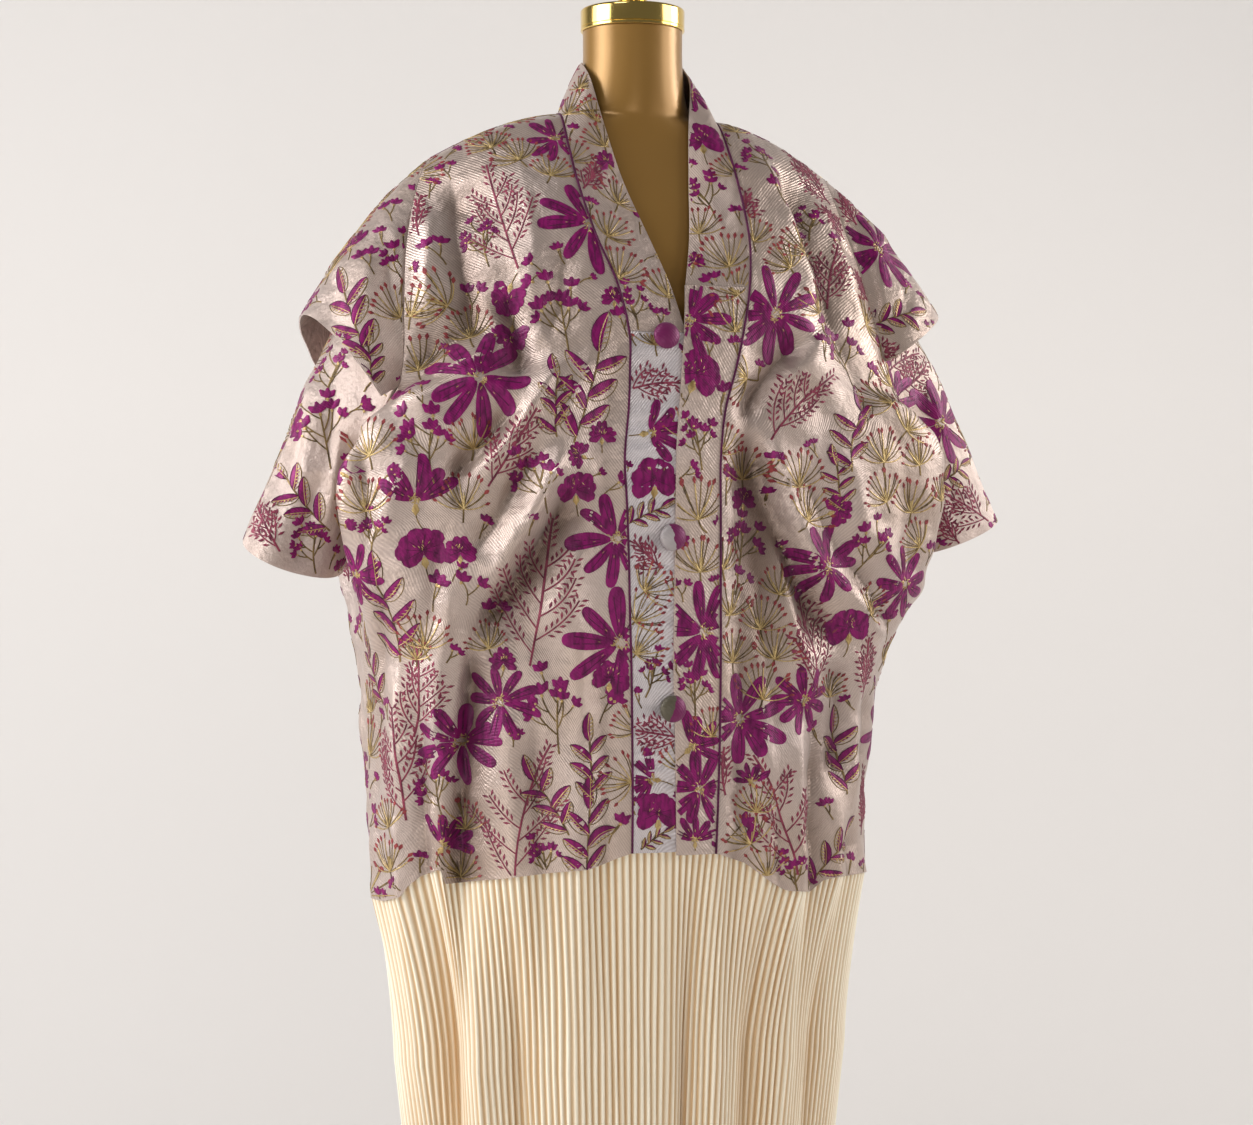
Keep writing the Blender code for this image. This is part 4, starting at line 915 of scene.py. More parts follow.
LEFT_FRONT_FIGURES = (
    ("daisy", 777, 312, 92, 0), ("spray", 755, 158, 60, 20), ("twig", 778, 192, 34, 10),
    ("umbel", 752, 232, 40, 0), ("fern", 808, 176, 74, 25), ("spray", 806, 222, 46, 0),
    ("fern", 828, 276, 78, -6), ("umbel", 786, 262, 38, 30), ("spray", 842, 350, 74, 6),
    ("leaves", 848, 424, 92, 0), ("fern", 798, 398, 104, -34), ("umbel", 885, 452, 46, 0),
    ("umbel", 918, 456, 36, 8), ("umbel", 884, 492, 42, 30), ("umbel", 914, 502, 48, -5),
    ("leaves", 836, 478, 66, 10), ("carnation", 741, 500, 28, 0), ("spray", 746, 546, 68, -20),
    ("twig", 770, 465, 28, 0), ("carnation", 838, 512, 30, -70), ("spray", 868, 545, 66, -10),
    ("daisy", 830, 568, 78, 20), ("daisy", 905, 584, 76, 0), ("umbel", 730, 604, 44, 0),
    ("umbel", 762, 622, 44, 0), ("umbel", 776, 652, 42, -10), ("umbel", 732, 655, 42, 0),
    ("umbel", 763, 688, 50, -8), ("fern", 812, 640, 104, 6), ("carnation", 850, 625, 44, 0),
    ("fern", 866, 668, 70, 10), ("daisy", 806, 700, 68, 0), ("umbel", 830, 690, 36, 0),
    ("daisy", 740, 721, 92, 0), ("fern", 786, 806, 138, 10), ("leaves", 843, 750, 88, 0),
    ("side", 750, 782, 34, 20), ("umbel", 756, 802, 38, 0), ("umbel", 746, 836, 44, 30),
    ("umbel", 764, 866, 40, 20), ("twig", 738, 832, 40, -60), ("spray", 800, 872, 46, 0),
    ("leaves", 838, 850, 84, -40), ("twig", 848, 868, 30, 0), ("fern", 862, 800, 70, 0),
    ("twig", 868, 376, 30, -20), ("twig", 724, 486, 40, 0), ("twig", 930, 556, 28, 0),
)
front_panels = {}
for side, node_name, creases, placed, flat, area, seed in (
        ("right", "front_right", RIGHT_FRONT_CREASES, RIGHT_FRONT_FIGURES, (0.46, 0.94), 0.262, 11),
        ("left", "front_left", LEFT_FRONT_CREASES, LEFT_FRONT_FIGURES, (0.44, 0.94), 0.248, 12)):
    points, smooth, row = half_panel(FRONT, side, -1, creases, seed, FRONT_STEP, FRONT_COLUMNS)
    across, down = photo_pixels(points[-1])
    fade = ease(np.linspace(1, 0, FRONT_COLUMNS) / 0.3)
    miss = (down - np.interp(across, *zip(*HEM_LINE))) * PIXEL * fade
    lift = ease((0.85 - points[..., 2]) / 0.16) * np.clip(miss, -0.03, 0.03)[None, :]
    points[..., 2] += lift
    smooth[..., 2] += lift
    below = sum(row["parts"][:FRONT_ARMHOLE])
    normals = level_out(grid_normals(points, (0, 0, 1.0)), 0, slice(None))
    normals = level_out(normals, slice(below, None), -1)
    normals = level_out(normals, slice(sum(row["parts"][:5]), None), 0, axis=0)
    front_panels[side] = points, normals, row
    sew("front_panel_" + side, node_name, trim(points, top=SEAM, first=SEAM, last=SEAM), normals,
        placed, seed, 260, smooth=smooth)


# Back panel: one wide piece of the same brocade, cut to a low curve at the neck. It hangs from
# the shoulder seams and the neckband, with long folds down from the shoulder blades.
BACK = (
    (1.4625, .049, .000, .000, .218, .218, .212, .212, .00, .085, .085),
    (1.4600, .051, .030, .016, .226, .226, .218, .218, .00, .074, .074),
    (1.4540, .056, .054, .030, .236, .236, .224, .224, .00, .045, .045),
    (1.4470, .062, .070, .040, .244, .244, .228, .228, .00, .000, .000),
    (1.4150, .070, .090, .056, .254, .254, .236, .236, .00, .000, .000),
    (1.3700, .074, .106, .068, .262, .262, .246, .246, .00, .000, .000),
    (1.3200, .076, .116, .076, .268, .268, .256, .256, .00, .000, .000),
    (1.2700, .070, .121, .080, .270, .270, .262, .262, .00, .000, .000),
    (1.2200, .058, .124, .080, .274, .274, .270, .270, .00, .000, .000),
    (1.1800, .042, .125, .086, .290, .264, .286, .260, .40, .000, .000),
    (1.1400, .025, .125, .086, .306, .253, .300, .250, 1.0, .000, .000),
    (1.0900, .018, .125, .082, .318, .262, .312, .258, 1.0, .000, .000),
    (1.0400, .020, .125, .074, .315, .279, .310, .272, 1.0, .000, .000),
    (0.9800, .024, .125, .058, .308, .294, .300, .283, 1.0, .000, .000),
    (0.9300, .027, .125, .040, .299, .297, .279, .275, 1.0, .000, .000),
    (0.8800, .030, .125, .028, .294, .294, .271, .271, 1.0, .000, .000),
    (0.8000, .035, .125, .016, .2905, .2905, .265, .265, 1.0, .000, .000),
    (0.7400, .038, .125, .010, .287, .287, .2605, .2605, 1.0, .000, .000),
    (0.6870, .040, .124, .006, .283, .283, .264, .264, 1.0, .000, .000),
)
BACK_ARMHOLE = 10
BACK_NECK = 3
BACK_STEP = 0.0066
BACK_COLUMNS = 64
BACK_CREASES = (
    (-55, -1370, -235, -1120, -10, 18, 26, -18), (65, -1360, 222, -1110, 12, 26, 18, -14),
    (-20, -1390, -130, -1180, -8, 16, 14, 11), (30, -1380, 138, -1180, 8, 14, 16, 11),
    (-150, -1330, -246, -1200, -8, 12, 12, 9), (165, -1330, 250, -1210, 8, 12, 12, 9),
    (-190, -1180, -262, -1020, -6, 10, 16, -18), (186, -1170, 256, -1010, 6, 16, 10, -18),
    (-115, -1150, -168, -560, -8, 18, 20, 14), (-185, -1070, -215, -560, -6, 12, 22, -19),
    (-75, -1180, -98, -560, 6, 14, 16, -14), (-20, -1200, -32, -560, -10, 20, 14, -15),
    (18, -1130, 30, -560, -4, 14, 18, 12), (80, -1120, 108, -560, 8, 20, 14, 14),
    (130, -1160, 152, -560, 6, 13, 13, -14), (172, -1060, 192, -560, 6, 20, 11, -19),
    (222, -1090, 226, -640, -4, 12, 12, 11), (-238, -1070, -254, -640, -4, 12, 12, 11),
    (-142, -900, -150, -560, 4, 8, 9, -8), (54, -900, 62, -560, -4, 9, 8, -8),
    (-52, -820, -58, -560, 0, 9, 9, 7), (242, -900, 244, -600, 0, 9, 8, -8),
)
back_halves = {side: half_panel(BACK, side, 1, BACK_CREASES, 21, BACK_STEP, BACK_COLUMNS)
               for side in ("right", "left")}
back_row = back_halves["right"][2]
neck_rows = sum(back_row["parts"][:BACK_NECK])
back_below = sum(back_row["parts"][:BACK_ARMHOLE])
middle = (back_halves["right"][0][:, 0] + back_halves["left"][0][:, 0]) / 2
back_panels = {}
for side, (points, _, _) in back_halves.items():
    points = points.copy()
    points[neck_rows:, 0] = middle[neck_rows:]
    normals = level_out(grid_normals(points, (0, 0, 1.0)), 0, slice(None))
    back_panels[side] = points, level_out(normals, slice(back_below, None), -1)
spine = back_panels["right"][1][neck_rows:, 0] + back_panels["left"][1][neck_rows:, 0]
spine[:, 0] = 0
for side in back_panels:
    back_panels[side][1][neck_rows:, 0] = unit(spine)

# Below the neckline the two halves are one piece. Its upper corners are the shoulder parts.


def joined(right, left):
    """The part of two half grids below the neckline, side by side as one grid."""
    return np.concatenate([right[neck_rows:, ::-1], left[neck_rows:, 1:]], axis=1)


sew("back_panel", "back",
    joined(*(trim(back_panels[side][0], top=SEAM, last=SEAM) for side in ("right", "left"))),
    joined(back_panels["right"][1], back_panels["left"][1]),
    (), 22, 560,
    smooth=joined(back_halves["right"][1], back_halves["left"][1]))
for side in ("right", "left"):
    points, normals = back_panels[side]
    points = trim(points, top=SEAM, last=SEAM)
    points[:neck_rows + 1, 0] += unit(points[:neck_rows + 1, 1] - points[:neck_rows + 1, 0]) * SEAM
    sew("back_shoulder_" + side, "back", points[:neck_rows + 1], normals[:neck_rows + 1],
        (), 23, 30)


# Neckband: one strip of brocade round the back of the neck and down both sides of the V, sewn
# to the panels at its outer edge. It stands up at the nape and lies flat in front. A dark plum
# cord is caught in its seam; it is partly piping and partly painted shade, the dark line of the seam's ditch.
BAND_CROWN = 0.0018
BAND_ACROSS = 14
CORD_RADIUS = 0.0013
CORD_LIFT = 0.0004
BAND_NAMES = ("edge_r", "edge_l", "forward", "height")
BAND_FRONT = (
    (.0580, .0580, .000, 1.520),
    (.0570, .0555, .031, 1.497),
    (.0490, .0460, .052, 1.448),
    (.0365, .0365, .079, 1.384),
    (.0180, .0270, .108, 1.323),
    (.0020, .0150, .131, 1.271),
    (-.0100, .0060, .147, 1.220),
)
BAND_BACK = (
    (.0580, .0580, .000, 1.520),
    (.0520, .0520, .029, 1.519),
    (.0310, .0310, .050, 1.517),
    (.0000, .0000, .060, 1.516),
)
BAND_END = {"right": 6, "left": 5}
BAND_FIGURES = (
    ("umbel", 570, 108, 44, 0), ("umbel", 598, 116, 40, -20), ("carnation", 606, 158, 26, 20),
    ("fern", 596, 176, 44, -50), ("umbel", 620, 198, 44, -30), ("umbel", 612, 230, 40, -40),
    ("umbel", 622, 268, 46, -20), ("twig", 650, 255, 30, -40), ("spray", 642, 305, 50, -10),
    ("twig", 660, 320, 24, 0), ("daisy", 690, 92, 50, 0), ("carnation", 702, 136, 44, 0),
    ("spray", 710, 192, 62, 10), ("umbel", 700, 226, 44, 0), ("umbel", 727, 258, 52, 10),
    ("umbel", 583, 84, 30, 0),
)


def tube_faces(rows, cols, turned_round=False):
    """Faces of a grid whose last column joins its first, with a cap at each end.

    turned_round faces them the other way.
    """
    index = np.arange(rows * cols).reshape(rows, cols)
    after = np.roll(index, -1, axis=1)
    quads = np.stack([index[:-1], after[:-1], after[1:], index[1:]], axis=-1).reshape(-1, 4)
    caps = [index[0][::-1], index[-1]]
    if turned_round:
        quads = quads[:, [0, 3, 2, 1]]
        caps = [cap[::-1] for cap in caps]
    return quads.tolist() + [cap.tolist() for cap in caps]


def plain_cord(name, path, radius, sides=6):
    """A thin round cord along a path of points, closed at both ends."""
    along = unit(np.gradient(path, axis=0))
    first = unit(np.cross(along, np.array([0.3, 0.2, 1.0])))
    second = np.cross(along, first)
    angle = np.linspace(0, 2 * math.pi, sides, endpoint=False)
    ring = path[:, None] + radius * (first[:, None] * np.cos(angle)[None, :, None]
                                     + second[:, None] * np.sin(angle)[None, :, None])
    piece = add_piece(name, ring, tube_faces(len(path), sides), THREADS["shade"][0])
    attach(piece, "root")
    return piece


stations = []
for facing, table, side, order in (("front", BAND_FRONT, "right", -1), ("back", BAND_BACK, "right", 1),
                                   ("back", BAND_BACK, "left", -1), ("front", BAND_FRONT, "left", 1)):
    if facing == "front":
        sewn_grid, _, row = front_panels[side]
        band = spread(table, BAND_NAMES, parts=row["parts"][:BAND_END[side]])
    else:
        sewn_grid = back_panels[side][0]
        band = spread(table, BAND_NAMES, parts=back_row["parts"][:BACK_NECK])
    hand = -1 if side == "right" else 1
    away = -1 if facing == "front" else 1
    free = np.stack([hand * band["edge_" + side[0]], away * band["forward"], band["height"]], axis=-1)
    pairs = np.stack([sewn_grid[:len(free), 0], free], axis=1)[::order]
    stations.append(pairs if not stations else pairs[1:])
pairs = np.concatenate(stations)
across = np.linspace(0, 1, BAND_ACROSS)[None, :, None]
points = pairs[:, :1] * (1 - across) + pairs[:, 1:] * across
normals = grid_normals(points, (0, 0, 1.40))
station = np.arange(len(pairs))
fade = ease(np.minimum(station, station[::-1]) / 12)[:, None, None]
points = points + normals * BAND_CROWN * np.sin(across * math.pi) * fade
points = points + normals * (ripple(points, 31, 0.0005, 0.03)[..., None] * np.sin(across * math.pi) * fade)
# Partly painted shade: the dark cord also stands for the shade in the seam's ditch.
for side in ("right", "left"):
    sewn_grid, sewn_normals, _ = front_panels[side]
    path = sewn_grid[:, 0] + sewn_normals[:, 0] * CORD_LIFT
    plain_cord("seam_cord_" + side, path, CORD_RADIUS)
sew("neck_band", "neckband", trim(points, top=SEAM, bottom=SEAM, first=SEAM * 2), normals,
    BAND_FIGURES, 32, 60)


# Front bands below the V: the wearer's right one lies under, thinner and puckered where it is
# sewn down, and the left one lies over it with a crisp edge. Both are doubled strips of brocade.
UNDER_EDGE = 0.0100
OVERLAP_RAISE = 0.0024
OVER_EDGE_Z = (0.600, 0.880, 1.100, 1.150, 1.210, 1.250, 1.290)
OVER_EDGE_X = (-0.001, -0.0073, -0.0040, 0.0000, 0.0058, 0.0095, 0.0120)
UNDER_FIGURES = (
    ("fern", 656, 378, 62, -70), ("side", 650, 432, 62, -80), ("carnation", 652, 478, 46, 0),
    ("leaves", 652, 512, 56, -60), ("fern", 646, 556, 44, 60), ("umbel", 652, 584, 40, -50),
    ("umbel", 643, 612, 42, -40), ("umbel", 641, 645, 44, -40), ("spray", 655, 676, 50, -30),
    ("fern", 652, 732, 64, 80), ("side", 655, 778, 52, 80), ("carnation", 657, 812, 44, 0),
    ("leaves", 656, 838, 40, -60),
)
OVER_FIGURES = (
    ("daisy", 690, 322, 78, 20), ("umbel", 732, 322, 46, 0), ("carnation", 697, 370, 52, -20),
    ("twig", 718, 398, 34, 10), ("spray", 702, 438, 62, 0), ("umbel", 696, 506, 56, 8),
    ("umbel", 700, 562, 48, 0), ("twig", 684, 590, 26, 0), ("daisy", 705, 630, 92, 0),
    ("spray", 695, 690, 56, 0), ("umbel", 712, 730, 40, 0), ("side", 690, 748, 58, -50),
    ("daisy", 698, 788, 74, 0), ("side", 696, 842, 44, 0), ("twig", 712, 350, 28, 0),
)
across = np.linspace(0, 1, 12)
start = sum(front_panels["right"][2]["parts"][:BAND_END["right"]])
seam = front_panels["right"][0][start:, 0]
x = seam[:, :1] * (1 - across) + UNDER_EDGE * across
pucker = 0.0015 * np.sin(seam[:, 2:] * 2 * math.pi / 0.024 + 2.6 * np.sin(seam[:, 2:] * 40))
pucker = pucker * np.sin(np.clip(across * 1.15, 0, 1) * math.pi)[None, :] ** 0.7
points = np.stack([x, seam[:, 1:2] + pucker, seam[:, 2:] + 0 * x], axis=-1)
# The under band wears the lighter copy of the ground: painted light.
sew("front_band_under", "placket_under", trim(points, top=SEAM, first=SEAM),
    grid_normals(points, (0, 0, 1.0)), UNDER_FIGURES, 41, 60,
    ground=BAND_GROUND_PAINTED_LIGHT)

start = sum(front_panels["left"][2]["parts"][:BAND_END["left"]])
seam = front_panels["left"][0][start:, 0]
edge = np.interp(seam[:, 2], OVER_EDGE_Z, OVER_EDGE_X)[:, None]
x = seam[:, :1] * (1 - across) + edge * across
y = seam[:, 1:2] - OVERLAP_RAISE * ease(across * 1.5)[None, :]
over_wave = ripple(np.stack([x, y, seam[:, 2:] + 0 * x], axis=-1), 43, 0.0004, 0.04)
y = y - np.abs(over_wave) * np.sin(across * math.pi)[None, :]
points = np.stack([x, y, seam[:, 2:] + 0 * x], axis=-1)
sew("front_band_over", "placket_over", trim(points, top=SEAM, first=SEAM),
    grid_normals(points, (0, 0, 1.0)), OVER_FIGURES, 42, 60)


# Buttons: three domes covered with cuttings of the brocade, each half on a magenta petal and
# half on the pale ground, with the cloth gathered under the rim. They stay closed.
BUTTON_RADIUS = 0.0140
BUTTON_HEIGHT = 0.0085
BUTTONS = ((-0.0125, 1.216), (-0.0087, 1.009), (-0.0087, 0.833))
REST_GAP = 0.0003
PETAL_COLOR = (0.17, 0.004, 0.085)
BUTTON_GROUNDS = (PETAL_COLOR, (0.42, 0.38, 0.38), (0.10, 0.085, 0.055))
BUTTON_TURNS = (0.5, 0.2, -0.3)


def turned(name, profile, steps, place=(0, 0, 0), tilt=0.0):
    """A turned piece: the profile's (radius, height) points from the top down, carried round Z."""
    profile = np.array(profile, dtype=float)
    angle = np.linspace(0, 2 * math.pi, steps, endpoint=False)
    points = np.stack([profile[:, :1] * np.cos(angle), profile[:, :1] * np.sin(angle),
                       profile[:, 1:] + 0 * angle], axis=-1)
    c, s = math.cos(tilt), math.sin(tilt)
    vertices = points.reshape(-1, 3) @ np.array([[1, 0, 0], [0, c, s], [0, -s, c]]) + np.array(place)
    piece = add_piece(name, vertices, tube_faces(len(profile), steps, turned_round=True))
    piece.data.set_sharp_from_angle(angle=math.radians(40))
    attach(piece, "root")
    return piece


def button_cloth(name, x, z, ground, turn):
    """Brocade on a button: a magenta petal over one side, a ground on the other, fine ribs."""
    made, tree, shader = finish(name, PETAL_COLOR, 0.4, 0.2, Sheen_Weight=0.2)
    place = node(tree, "TexCoord")
    level = node(tree, "Mapping", {"Vector": place, "Rotation": (0, turn, 0)},
                 vector_type="POINT")
    apart = node(tree, "SeparateXYZ", {"Vector": level})
    split = x * math.cos(turn) + z * math.sin(turn) - 0.001
    wob = node(tree, "TexNoise", {"Vector": place, "Scale": 160.0})
    wide = node(tree, "Math", {0: wob, 1: 0.006, 2: split - 0.003}, operation="MULTIPLY_ADD")
    over = node(tree, "Math", {0: apart, 1: wide}, operation="GREATER_THAN")
    color = node(tree, "Mix", {"Factor": over, "A": (*ground, 1),
                               "B": (*PETAL_COLOR, 1)}, data_type="RGBA")
    tree.links.new(color, shader.inputs["Base Color"])
    rib = node(tree, "TexWave", {"Vector": place, "Scale": 150.0, "Distortion": 1.0},
               bands_direction="DIAGONAL")
    bump = node(tree, "Bump", {"Height": rib, "Strength": 0.4, "Distance": 0.0003})
    tree.links.new(bump, shader.inputs["Normal"])
    return made


seam = front_panels["left"][0][::-1, 0]
rim = [(BUTTON_RADIUS * 0.97, 0.0008), (BUTTON_RADIUS * 0.86, 0), (BUTTON_RADIUS * 0.3, 0)]
dome = [(BUTTON_RADIUS * math.sin(a), BUTTON_HEIGHT * (0.25 + 0.75 * math.cos(a)))
        for a in np.radians(np.linspace(6, 90, 12))]
for number, ((x, z), ground, turn) in enumerate(zip(BUTTONS, BUTTON_GROUNDS, BUTTON_TURNS), start=1):
    above, below = (np.interp(z + step, seam[:, 2], seam[:, 1]) for step in (BUTTON_RADIUS, -BUTTON_RADIUS))
    slope = math.atan2(above - below, 2 * BUTTON_RADIUS)
    covers_edge = x + BUTTON_RADIUS > np.interp(z, OVER_EDGE_Z, OVER_EDGE_X)
    y = (above + below) / 2 - REST_GAP * 2.5 - (OVERLAP_RAISE if covers_edge else 0)
    button = turned("covered_button_%d" % number, dome + rim, 40, (x, y, z), math.pi / 2 - slope)
    button.data.materials.append(button_cloth("button_cloth_%d" % number, x, z, ground, turn))
    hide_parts("button_%d" % number)


# Over-sleeves: short wings sewn to the upper armhole and open under the arm, with a slanted hem.
# They stand over the longer sleeves, and a fold runs along the arm from the shoulder.
HEM_NAMES = ("tip_x", "tip_z", "low_x", "low_y", "low_z")
OVERSLEEVE_HEM = {
    "right": (.362, 1.241, .300, .100, 1.152),
    "left": (.350, 1.259, .268, .096, 1.205),
}
OVERSLEEVE_END_FRONT = {"right": 6, "left": 5}
OVERSLEEVE_END_BACK = {"right": 8, "left": 7}
OVERSLEEVE_CROWN = 0.012
OVERSLEEVE_STEPS = 26
OVERSLEEVE_CREASES = {
    "right": ((446, 196, 386, 246, 0, 8, 7, 7), (452, 206, 398, 258, 0, 7, 10, -7),
              (388, 250, 400, 345, 3, 8, 8, -6), (372, 250, 352, 330, 2, 9, 9, 4),
              (340, 270, 320, 330, 0, 8, 8, -4)),
    "left": ((842, 200, 866, 330, 6, 8, 8, -6), (862, 215, 888, 330, 4, 8, 9, 5),
             (884, 230, 912, 320, 2, 8, 8, -4)),
}
OVERSLEEVE_FIGURES = {
    "right": (("leaves", 346, 312, 108, 28), ("daisy", 308, 306, 66, 0), ("spray", 404, 262, 70, -8),
              ("umbel", 398, 306, 48, 10), ("leaves", 374, 360, 66, -6), ("twig", 390, 212, 34, 20),
              ("twig", 368, 262, 36, 30), ("side", 352, 248, 40, 40), ("twig", 415, 196, 30, 0),
              ("twig", 340, 345, 26, 0)),
    "left": (("daisy", 880, 250, 90, 0), ("leaves", 895, 316, 76, -72), ("fern", 848, 206, 46, 10),
             ("twig", 924, 300, 22, 0), ("fern", 872, 350, 40, -70)),
}


def armhole(side, front_end, back_end):
    """The armhole from low in front over the shoulder to low behind.

    Its points and normals, and the table row of each: below zero in front, above zero behind.
    """
    front, front_normals, row = front_panels[side]
    back, back_normals = back_panels[side]
    a, b = sum(row["parts"][:front_end]), sum(back_row["parts"][:back_end])
    points = np.concatenate([front[:a + 1, -1][::-1], back[1:b + 1, -1]])
    normals = np.concatenate([front_normals[:a + 1, -1][::-1], back_normals[1:b + 1, -1]])
    shares = np.concatenate([-row["at"][:a + 1][::-1], back_row["at"][1:b + 1]])
    return points, normals, shares


for side, flat, area in (("right", (0.57, 0.23), 0.046), ("left", (0.49, 0.21), 0.041)):
    hand = -1 if side == "right" else 1
    hem = dict(zip(HEM_NAMES, OVERSLEEVE_HEM[side]))
    start, sewn_normals, share = armhole(side, OVERSLEEVE_END_FRONT[side], OVERSLEEVE_END_BACK[side])
    ends = np.where(share < 0, OVERSLEEVE_END_FRONT[side], OVERSLEEVE_END_BACK[side])
    angle = share / ends * math.pi / 2
    fall = 1 - np.cos(angle)
    end = np.stack([hand * (hem["tip_x"] + (hem["low_x"] - hem["tip_x"]) * fall),
                    hem["low_y"] * np.sin(angle),
                    hem["tip_z"] + (hem["low_z"] - hem["tip_z"]) * fall], axis=-1)
    u = np.linspace(0, 1, OVERSLEEVE_STEPS)[:, None, None]
    points = start * (1 - u) + end * u
    points = points + sewn_normals * OVERSLEEVE_CROWN * np.cos(angle)[None, :, None] * np.sin(u * math.pi)
    points[0] += unit(points[1] - points[0]) * SEAM * 2
    normals = grid_normals(points, (hand * 0.22, 0, 1.20))
    height = crease_height(OVERSLEEVE_CREASES[side], *photo_pixels(points)) + ripple(points, 51, 0.0007, 0.04)
    points = points + normals * (height * ease(u[..., 0] * 4))[..., None]
    normals = grid_normals(points, (hand * 0.22, 0, 1.20))
    normals[0] = sewn_normals
    sew("oversleeve_cloth_" + side, "oversleeve_" + side, points, normals, OVERSLEEVE_FIGURES[side],
        52, 120)


# Under-sleeves: elbow-length tubes from the whole armhole, worn inside the wings. Each starts a
# few millimetres inside the armhole's edge, and hangs flattened, with a wide open cuff.
CUFF_NAMES = ("outer_x", "outer_z", "inner_x", "inner_z", "depth", "swing", "tilt", "crown")
CUFF = {
    "right": (.421, 1.009, .318, 0.971, .044, .024, .013, .008),
    "left": (.428, 1.032, .330, 0.992, .044, .000, .004, .015),
}
UNDERSLEEVE_INSET = 0.0036
UNDERSLEEVE_EASE = 0.0022
UNDERSLEEVE_START = 0.0006
UNDERSLEEVE_STEPS = 44
UNDERSLEEVE_CREASES = {
    "right": ((336, 350, 330, 480, 0, 8, 8, -5), (318, 360, 300, 500, -3, 9, 9, 5),
              (340, 420, 322, 540, 2, 7, 8, 5), (300, 420, 272, 530, 0, 8, 8, -4),
              (322, 470, 296, 570, 0, 8, 7, -5)),
    "left": ((900, 330, 930, 460, 2, 8, 8, -5), (912, 340, 950, 480, 2, 8, 9, 5),
             (944, 420, 958, 540, 0, 7, 8, -4), (924, 380, 968, 510, 0, 8, 8, 4)),
}
UNDERSLEEVE_FIGURES = {
    "right": (("spray", 326, 372, 60, 10), ("spray", 316, 428, 86, 20), ("leaves", 296, 498, 92, 42),
              ("fern", 264, 524, 62, 30), ("spray", 305, 548, 58, 20), ("twig", 352, 404, 34, -30),
              ("twig", 336, 486, 28, 0), ("twig", 332, 556, 26, 0)),
    "left": (("fern", 902, 356, 70, -60), ("fern", 918, 384, 70, -70), ("daisy", 942, 424, 92, 0),
             ("leaves", 958, 476, 60, -70), ("fern", 964, 504, 76, 60), ("fern", 948, 530, 40, 40)),
}
for side, flat, area in (("right", (0.49, 0.45), 0.100), ("left", (0.48, 0.44), 0.100)):
    hand = -1 if side == "right" else 1
    ring, sewn_normals, share = armhole(side, FRONT_ARMHOLE, BACK_ARMHOLE)
    ring, top = ring[:-1], int(np.argmin(np.abs(share)))
    inward = np.array([hand * 0.25, 0, 1.27]) - ring
    inward[:, 0] = 0
    inset = UNDERSLEEVE_INSET + UNDERSLEEVE_EASE * ease((ring[top, 2] - ring[:, 2]) / 0.12)
    ring = ring + unit(inward) * inset[:, None] + np.array([hand * UNDERSLEEVE_START, 0, 0])
    steps = np.linalg.norm(np.diff(np.concatenate([ring, ring[:1]]), axis=0), axis=1)
    run = np.concatenate([[0], np.cumsum(steps)])
    angle = np.where(np.arange(len(ring)) <= top, -math.pi * (1 - run[:-1] / run[top]),
                     math.pi * (run[:-1] - run[top]) / (run[-1] - run[top]))
    cuff = dict(zip(CUFF_NAMES, CUFF[side]))
    high = (1 + np.cos(angle)) / 2
    front = -np.sin(angle)
    end = np.stack([hand * (cuff["inner_x"] + (cuff["outer_x"] - cuff["inner_x"]) * high
                            + cuff["swing"] * np.maximum(front, 0)),
                    -cuff["depth"] * front,
                    cuff["inner_z"] + (cuff["outer_z"] - cuff["inner_z"]) * high - cuff["tilt"] * front],
                   axis=-1)
    u = np.linspace(0, 1, UNDERSLEEVE_STEPS)[:, None, None]
    points = ring * (1 - u) + end * u
    points[..., 1] = ring[:, 1] + (end[:, 1] - ring[:, 1]) * np.sin(u[..., 0] * math.pi / 2)
    out = unit(np.array([hand * 2.0, 0, 1.0]))
    crown = cuff["crown"] * np.clip(np.cos(angle), 0, 1)[None, :, None] * np.sin(u * math.pi)
    points = points + out * crown
    normals = grid_normals(points, (hand * 0.31, 0, 1.14), closed=True)
    height = crease_height(UNDERSLEEVE_CREASES[side], *photo_pixels(points))
    height = height + ripple(points, 61, 0.0009, 0.05)
    fade = ease((u[..., 0] - 0.25) * 3)
    points = points + normals * (height * fade)[..., None]
    normals = grid_normals(points, (hand * 0.31, 0, 1.14), closed=True)
    sew("undersleeve_cloth_" + side, "undersleeve_" + side, points, normals, UNDERSLEEVE_FIGURES[side],
        62, 120, closed=True)


# Skirt: cream plisse, two widths with 98 fine pleats each, heat-set from the seam to the hem and
# caught inside the brocade's lower edge. It hangs a little in at the hem, with a few deep folds.
PLISSE = 0.0014
PLEATS_EACH_SIDE = 98
PLEAT_COLUMNS = 6
PLEAT_DEPTH = 0.0015
# The fold depth at which the shade painted into the skirt's colour is full.
SKIRT_PAINTED_SHADE_DEPTH = 0.02
SKIRT_INSET = 0.0036
TUCK = 0.007
BELOW_SEAM = 0.0015
HEM_Z = 0.080
SKIRT_PARTS = (1, 8, 9)
SKIRT_NAMES = ("z", "wide_r", "wide_l", "front", "back")
SKIRT = (
    (0.460, .261, .239, .140, .118),
    (HEM_Z, .218, .198, .119, .104),
)
SKIRT_FRONT_FOLDS = (
    (-232, -900, -204, 300, 0, 18, 9, -26), (-206, -900, -182, 300, 0, 8, 14, 10),
    (-166, -900, -150, 300, 0, 14, 16, -14), (-110, -900, -100, 300, 0, 22, 22, 7),
    (17, -900, 8, 300, 0, 8, 9, -17), (50, -900, 42, 300, 0, 16, 16, 7),
    (92, -900, 77, 300, 0, 14, 20, -17), (140, -900, 122, 300, 0, 14, 14, 8),
    (185, -900, 152, 300, 0, 18, 16, -13), (-262, -900, -225, 300, 0, 10, 10, 8),
)
